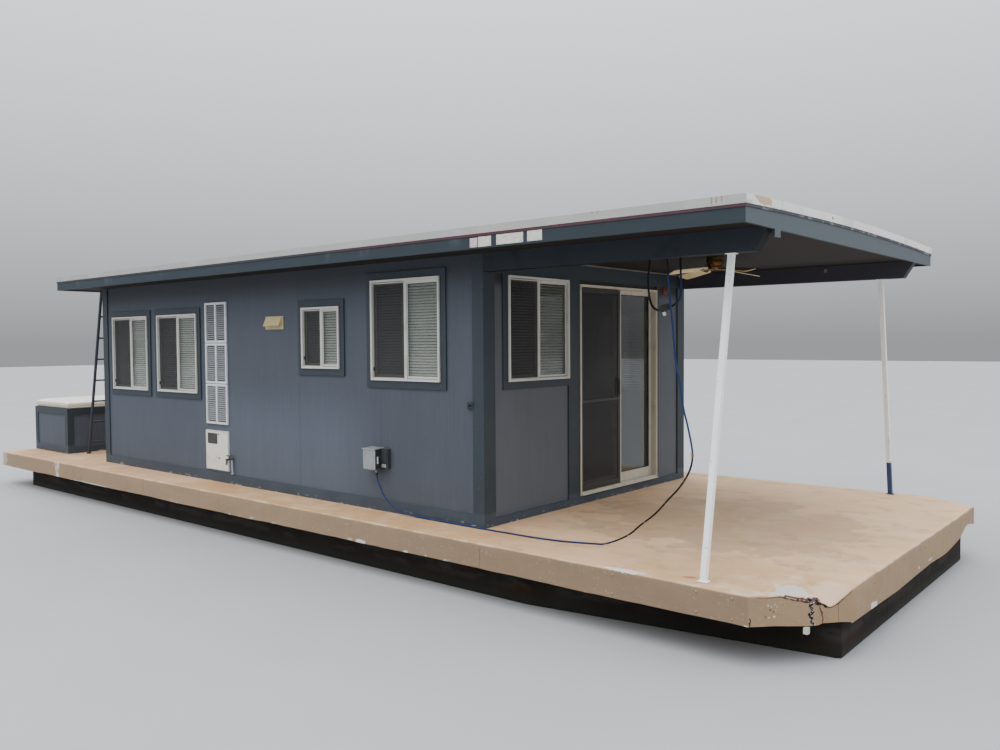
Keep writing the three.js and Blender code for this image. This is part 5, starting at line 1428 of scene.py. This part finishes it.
def add_lids():
    low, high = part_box("locker_lid_starboard")
    low, high = Vector(low), Vector(high)
    smaller = Vector((LID_SMALLER, LID_SMALLER, 0))
    block = Kit(vinyl_paint(), VINYL_SEAM)
    block.box(low + smaller, Vector((high.x, high.y, low.z + LID_THICK - 0.006)) - smaller, 0.012)
    pad = block.done("locker_pad_starboard", "locker_lid_starboard", "cushion", smooth=80,
                     replaces=["locker_lid_starboard"])
    voxels = pad.modifiers.new("voxels", "REMESH")
    voxels.mode, voxels.voxel_size = "VOXEL", LID_VOXEL
    settle(pad)
    middle, half = (low + high) / 2, (high - low) / 2
    for v in pad.data.vertices:
        u, w = (v.co.x - middle.x) / half.x, (v.co.y - middle.y) / half.y
        up = max(0.0, (v.co.z - low.z) / LID_THICK)
        v.co.z += up * LID_CROWN * max(0.0, 1 - u ** 4) * max(0.0, 1 - w ** 4)
        v.co.x -= 0.006 * u ** 3 * (1 - w * w)
        v.co.y -= 0.006 * w ** 3 * (1 - u * u)
    swell(pad, low.z)
    smooth = pad.modifiers.new("smooth", "SUBSURF")
    smooth.levels = smooth.render_levels = 1
    settle(pad)
    seams = (low.z + 0.014, low.z + LID_THICK - 0.024)
    for v in pad.data.vertices:
        for z in seams:
            near = math.exp(-(((v.co.z - z) / SEAM_HALF) ** 2))
            v.co -= Vector(v.normal) * SEAM_DEPTH * near * (1 if abs(v.normal.z) < 0.7 else 0)
    pad.data.polygons.foreach_set("use_smooth", [True] * len(pad.data.polygons))
    tree = BVHTree.FromPolygons(
        [v.co for v in pad.data.vertices], [tuple(f.vertices) for f in pad.data.polygons]
    )
    welts = Kit(VINYL_SEAM)
    for z in seams:
        centre = Vector((middle.x, middle.y, z))
        loop = []
        for k in range(WELT_POINTS + 1):
            angle = 2 * math.pi * k / WELT_POINTS
            far = Vector((math.cos(angle), math.sin(angle) * half.y / half.x, 0)) * 2
            hit = tree.ray_cast(centre + far, -far.normalized())[0]
            loop.append(hit + far.normalized() * 0.0012)
        welts.tube(loop, WELT_RADIUS, 8)
    welts = welts.done("locker_welts_starboard", "locker_lid_starboard", "cushion", smooth=80)
    for one in (pad, welts):
        other = one.data.copy()
        other.transform(Matrix.Scale(-1, 4, (0, 1, 0)))
        other.flip_normals()
        other = bpy.data.objects.new(one.name.replace("starboard", "port"), other)
        bpy.context.scene.collection.objects.link(other)
        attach(other, "locker_lid_port")
        if one is pad:
            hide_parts("locker_lid_port")


add_lids()


# Ceiling fan

FAN_X, FAN_Y = 4.324, 0.0
FAN_HUB_TOP = 2.9209
BLADE_PITCH, BLADE_DROOP, FAN_TURN = math.radians(14), math.radians(6.5), math.radians(65)


BLADE = blade_paint()


def add_fan():
    motor = Kit(BRASS, BRASS, GAP_SHADE_BLACK)
    motor.lathe([(0.072, 0.0), (0.074, -0.01), (0.0705, -0.013), (0.0705, -0.017), (0.076, -0.022),
                 (0.078, -0.044), (0.075, -0.047), (0.075, -0.051), (0.078, -0.054), (0.077, -0.066),
                 (0.066, -0.077), (0.03, -0.078)], (FAN_X, FAN_Y, CEILING - 0.0003), (0, 0, 1), 48)
    # The motor's slots are black boxes of painted shade.
    for k in range(28):
        spin = Matrix.Translation((FAN_X, FAN_Y, CEILING)) @ Matrix.Rotation(2 * math.pi * k / 28, 4, "Z")
        motor.box((0.0755, -0.0035, -0.043), (0.0786, 0.0035, -0.026), 0, 2, spin)
    motor.done("fan_motor_case", slot="brass", replaces=["fan_motor"])
    rotor = Kit(BRASS, BLADE)
    top = FAN_HUB_TOP
    rotor.lathe(
        [(0.03, top), (0.063, top - 0.001), (0.066, top - 0.008), (0.064, top - 0.02), (0.044, top - 0.031),
        (0.022, top - 0.0335), (0.008, top - 0.034)], (FAN_X, FAN_Y, 0), (0, 0, 1), 40
    )
    for k in range(4):
        spin = Matrix.Rotation(FAN_TURN + 2 * math.pi * k / 4, 4, "Z")
        tilt = Matrix.Rotation(BLADE_DROOP, 4, "Y") @ Matrix.Rotation(BLADE_PITCH, 4, "X")
        turn = Matrix.Translation((FAN_X, FAN_Y, top - 0.014)) @ spin @ tilt
        edge = [(0.104, 0.036), (0.12, 0.048), (0.18, 0.052), (0.32, 0.056), (0.445, 0.0575), (0.47, 0.051),
                (0.479, 0.038)]
        outline = [turn @ Vector((r, -w, -0.003)) for r, w in edge] + [
            turn @ Vector((r, w, -0.003)) for r, w in reversed(edge)
        ]
        up = (turn.to_3x3() @ Vector((0, 0, 1))) * 0.006
        rotor.prism(outline, up, 1)
        arm = [(0.05, 0.016), (0.096, 0.012), (0.13, 0.026), (0.15, 0.03), (0.158, 0.018)]
        outline = [turn @ Vector((r, -w, -0.0055)) for r, w in arm] + [
            turn @ Vector((r, w, -0.0055)) for r, w in reversed(arm)
        ]
        rotor.prism(outline, up * 0.4, 0)
    rotor.done("fan_blades", "fan_rotor", "blade", replaces=["fan_rotor"])


add_fan()
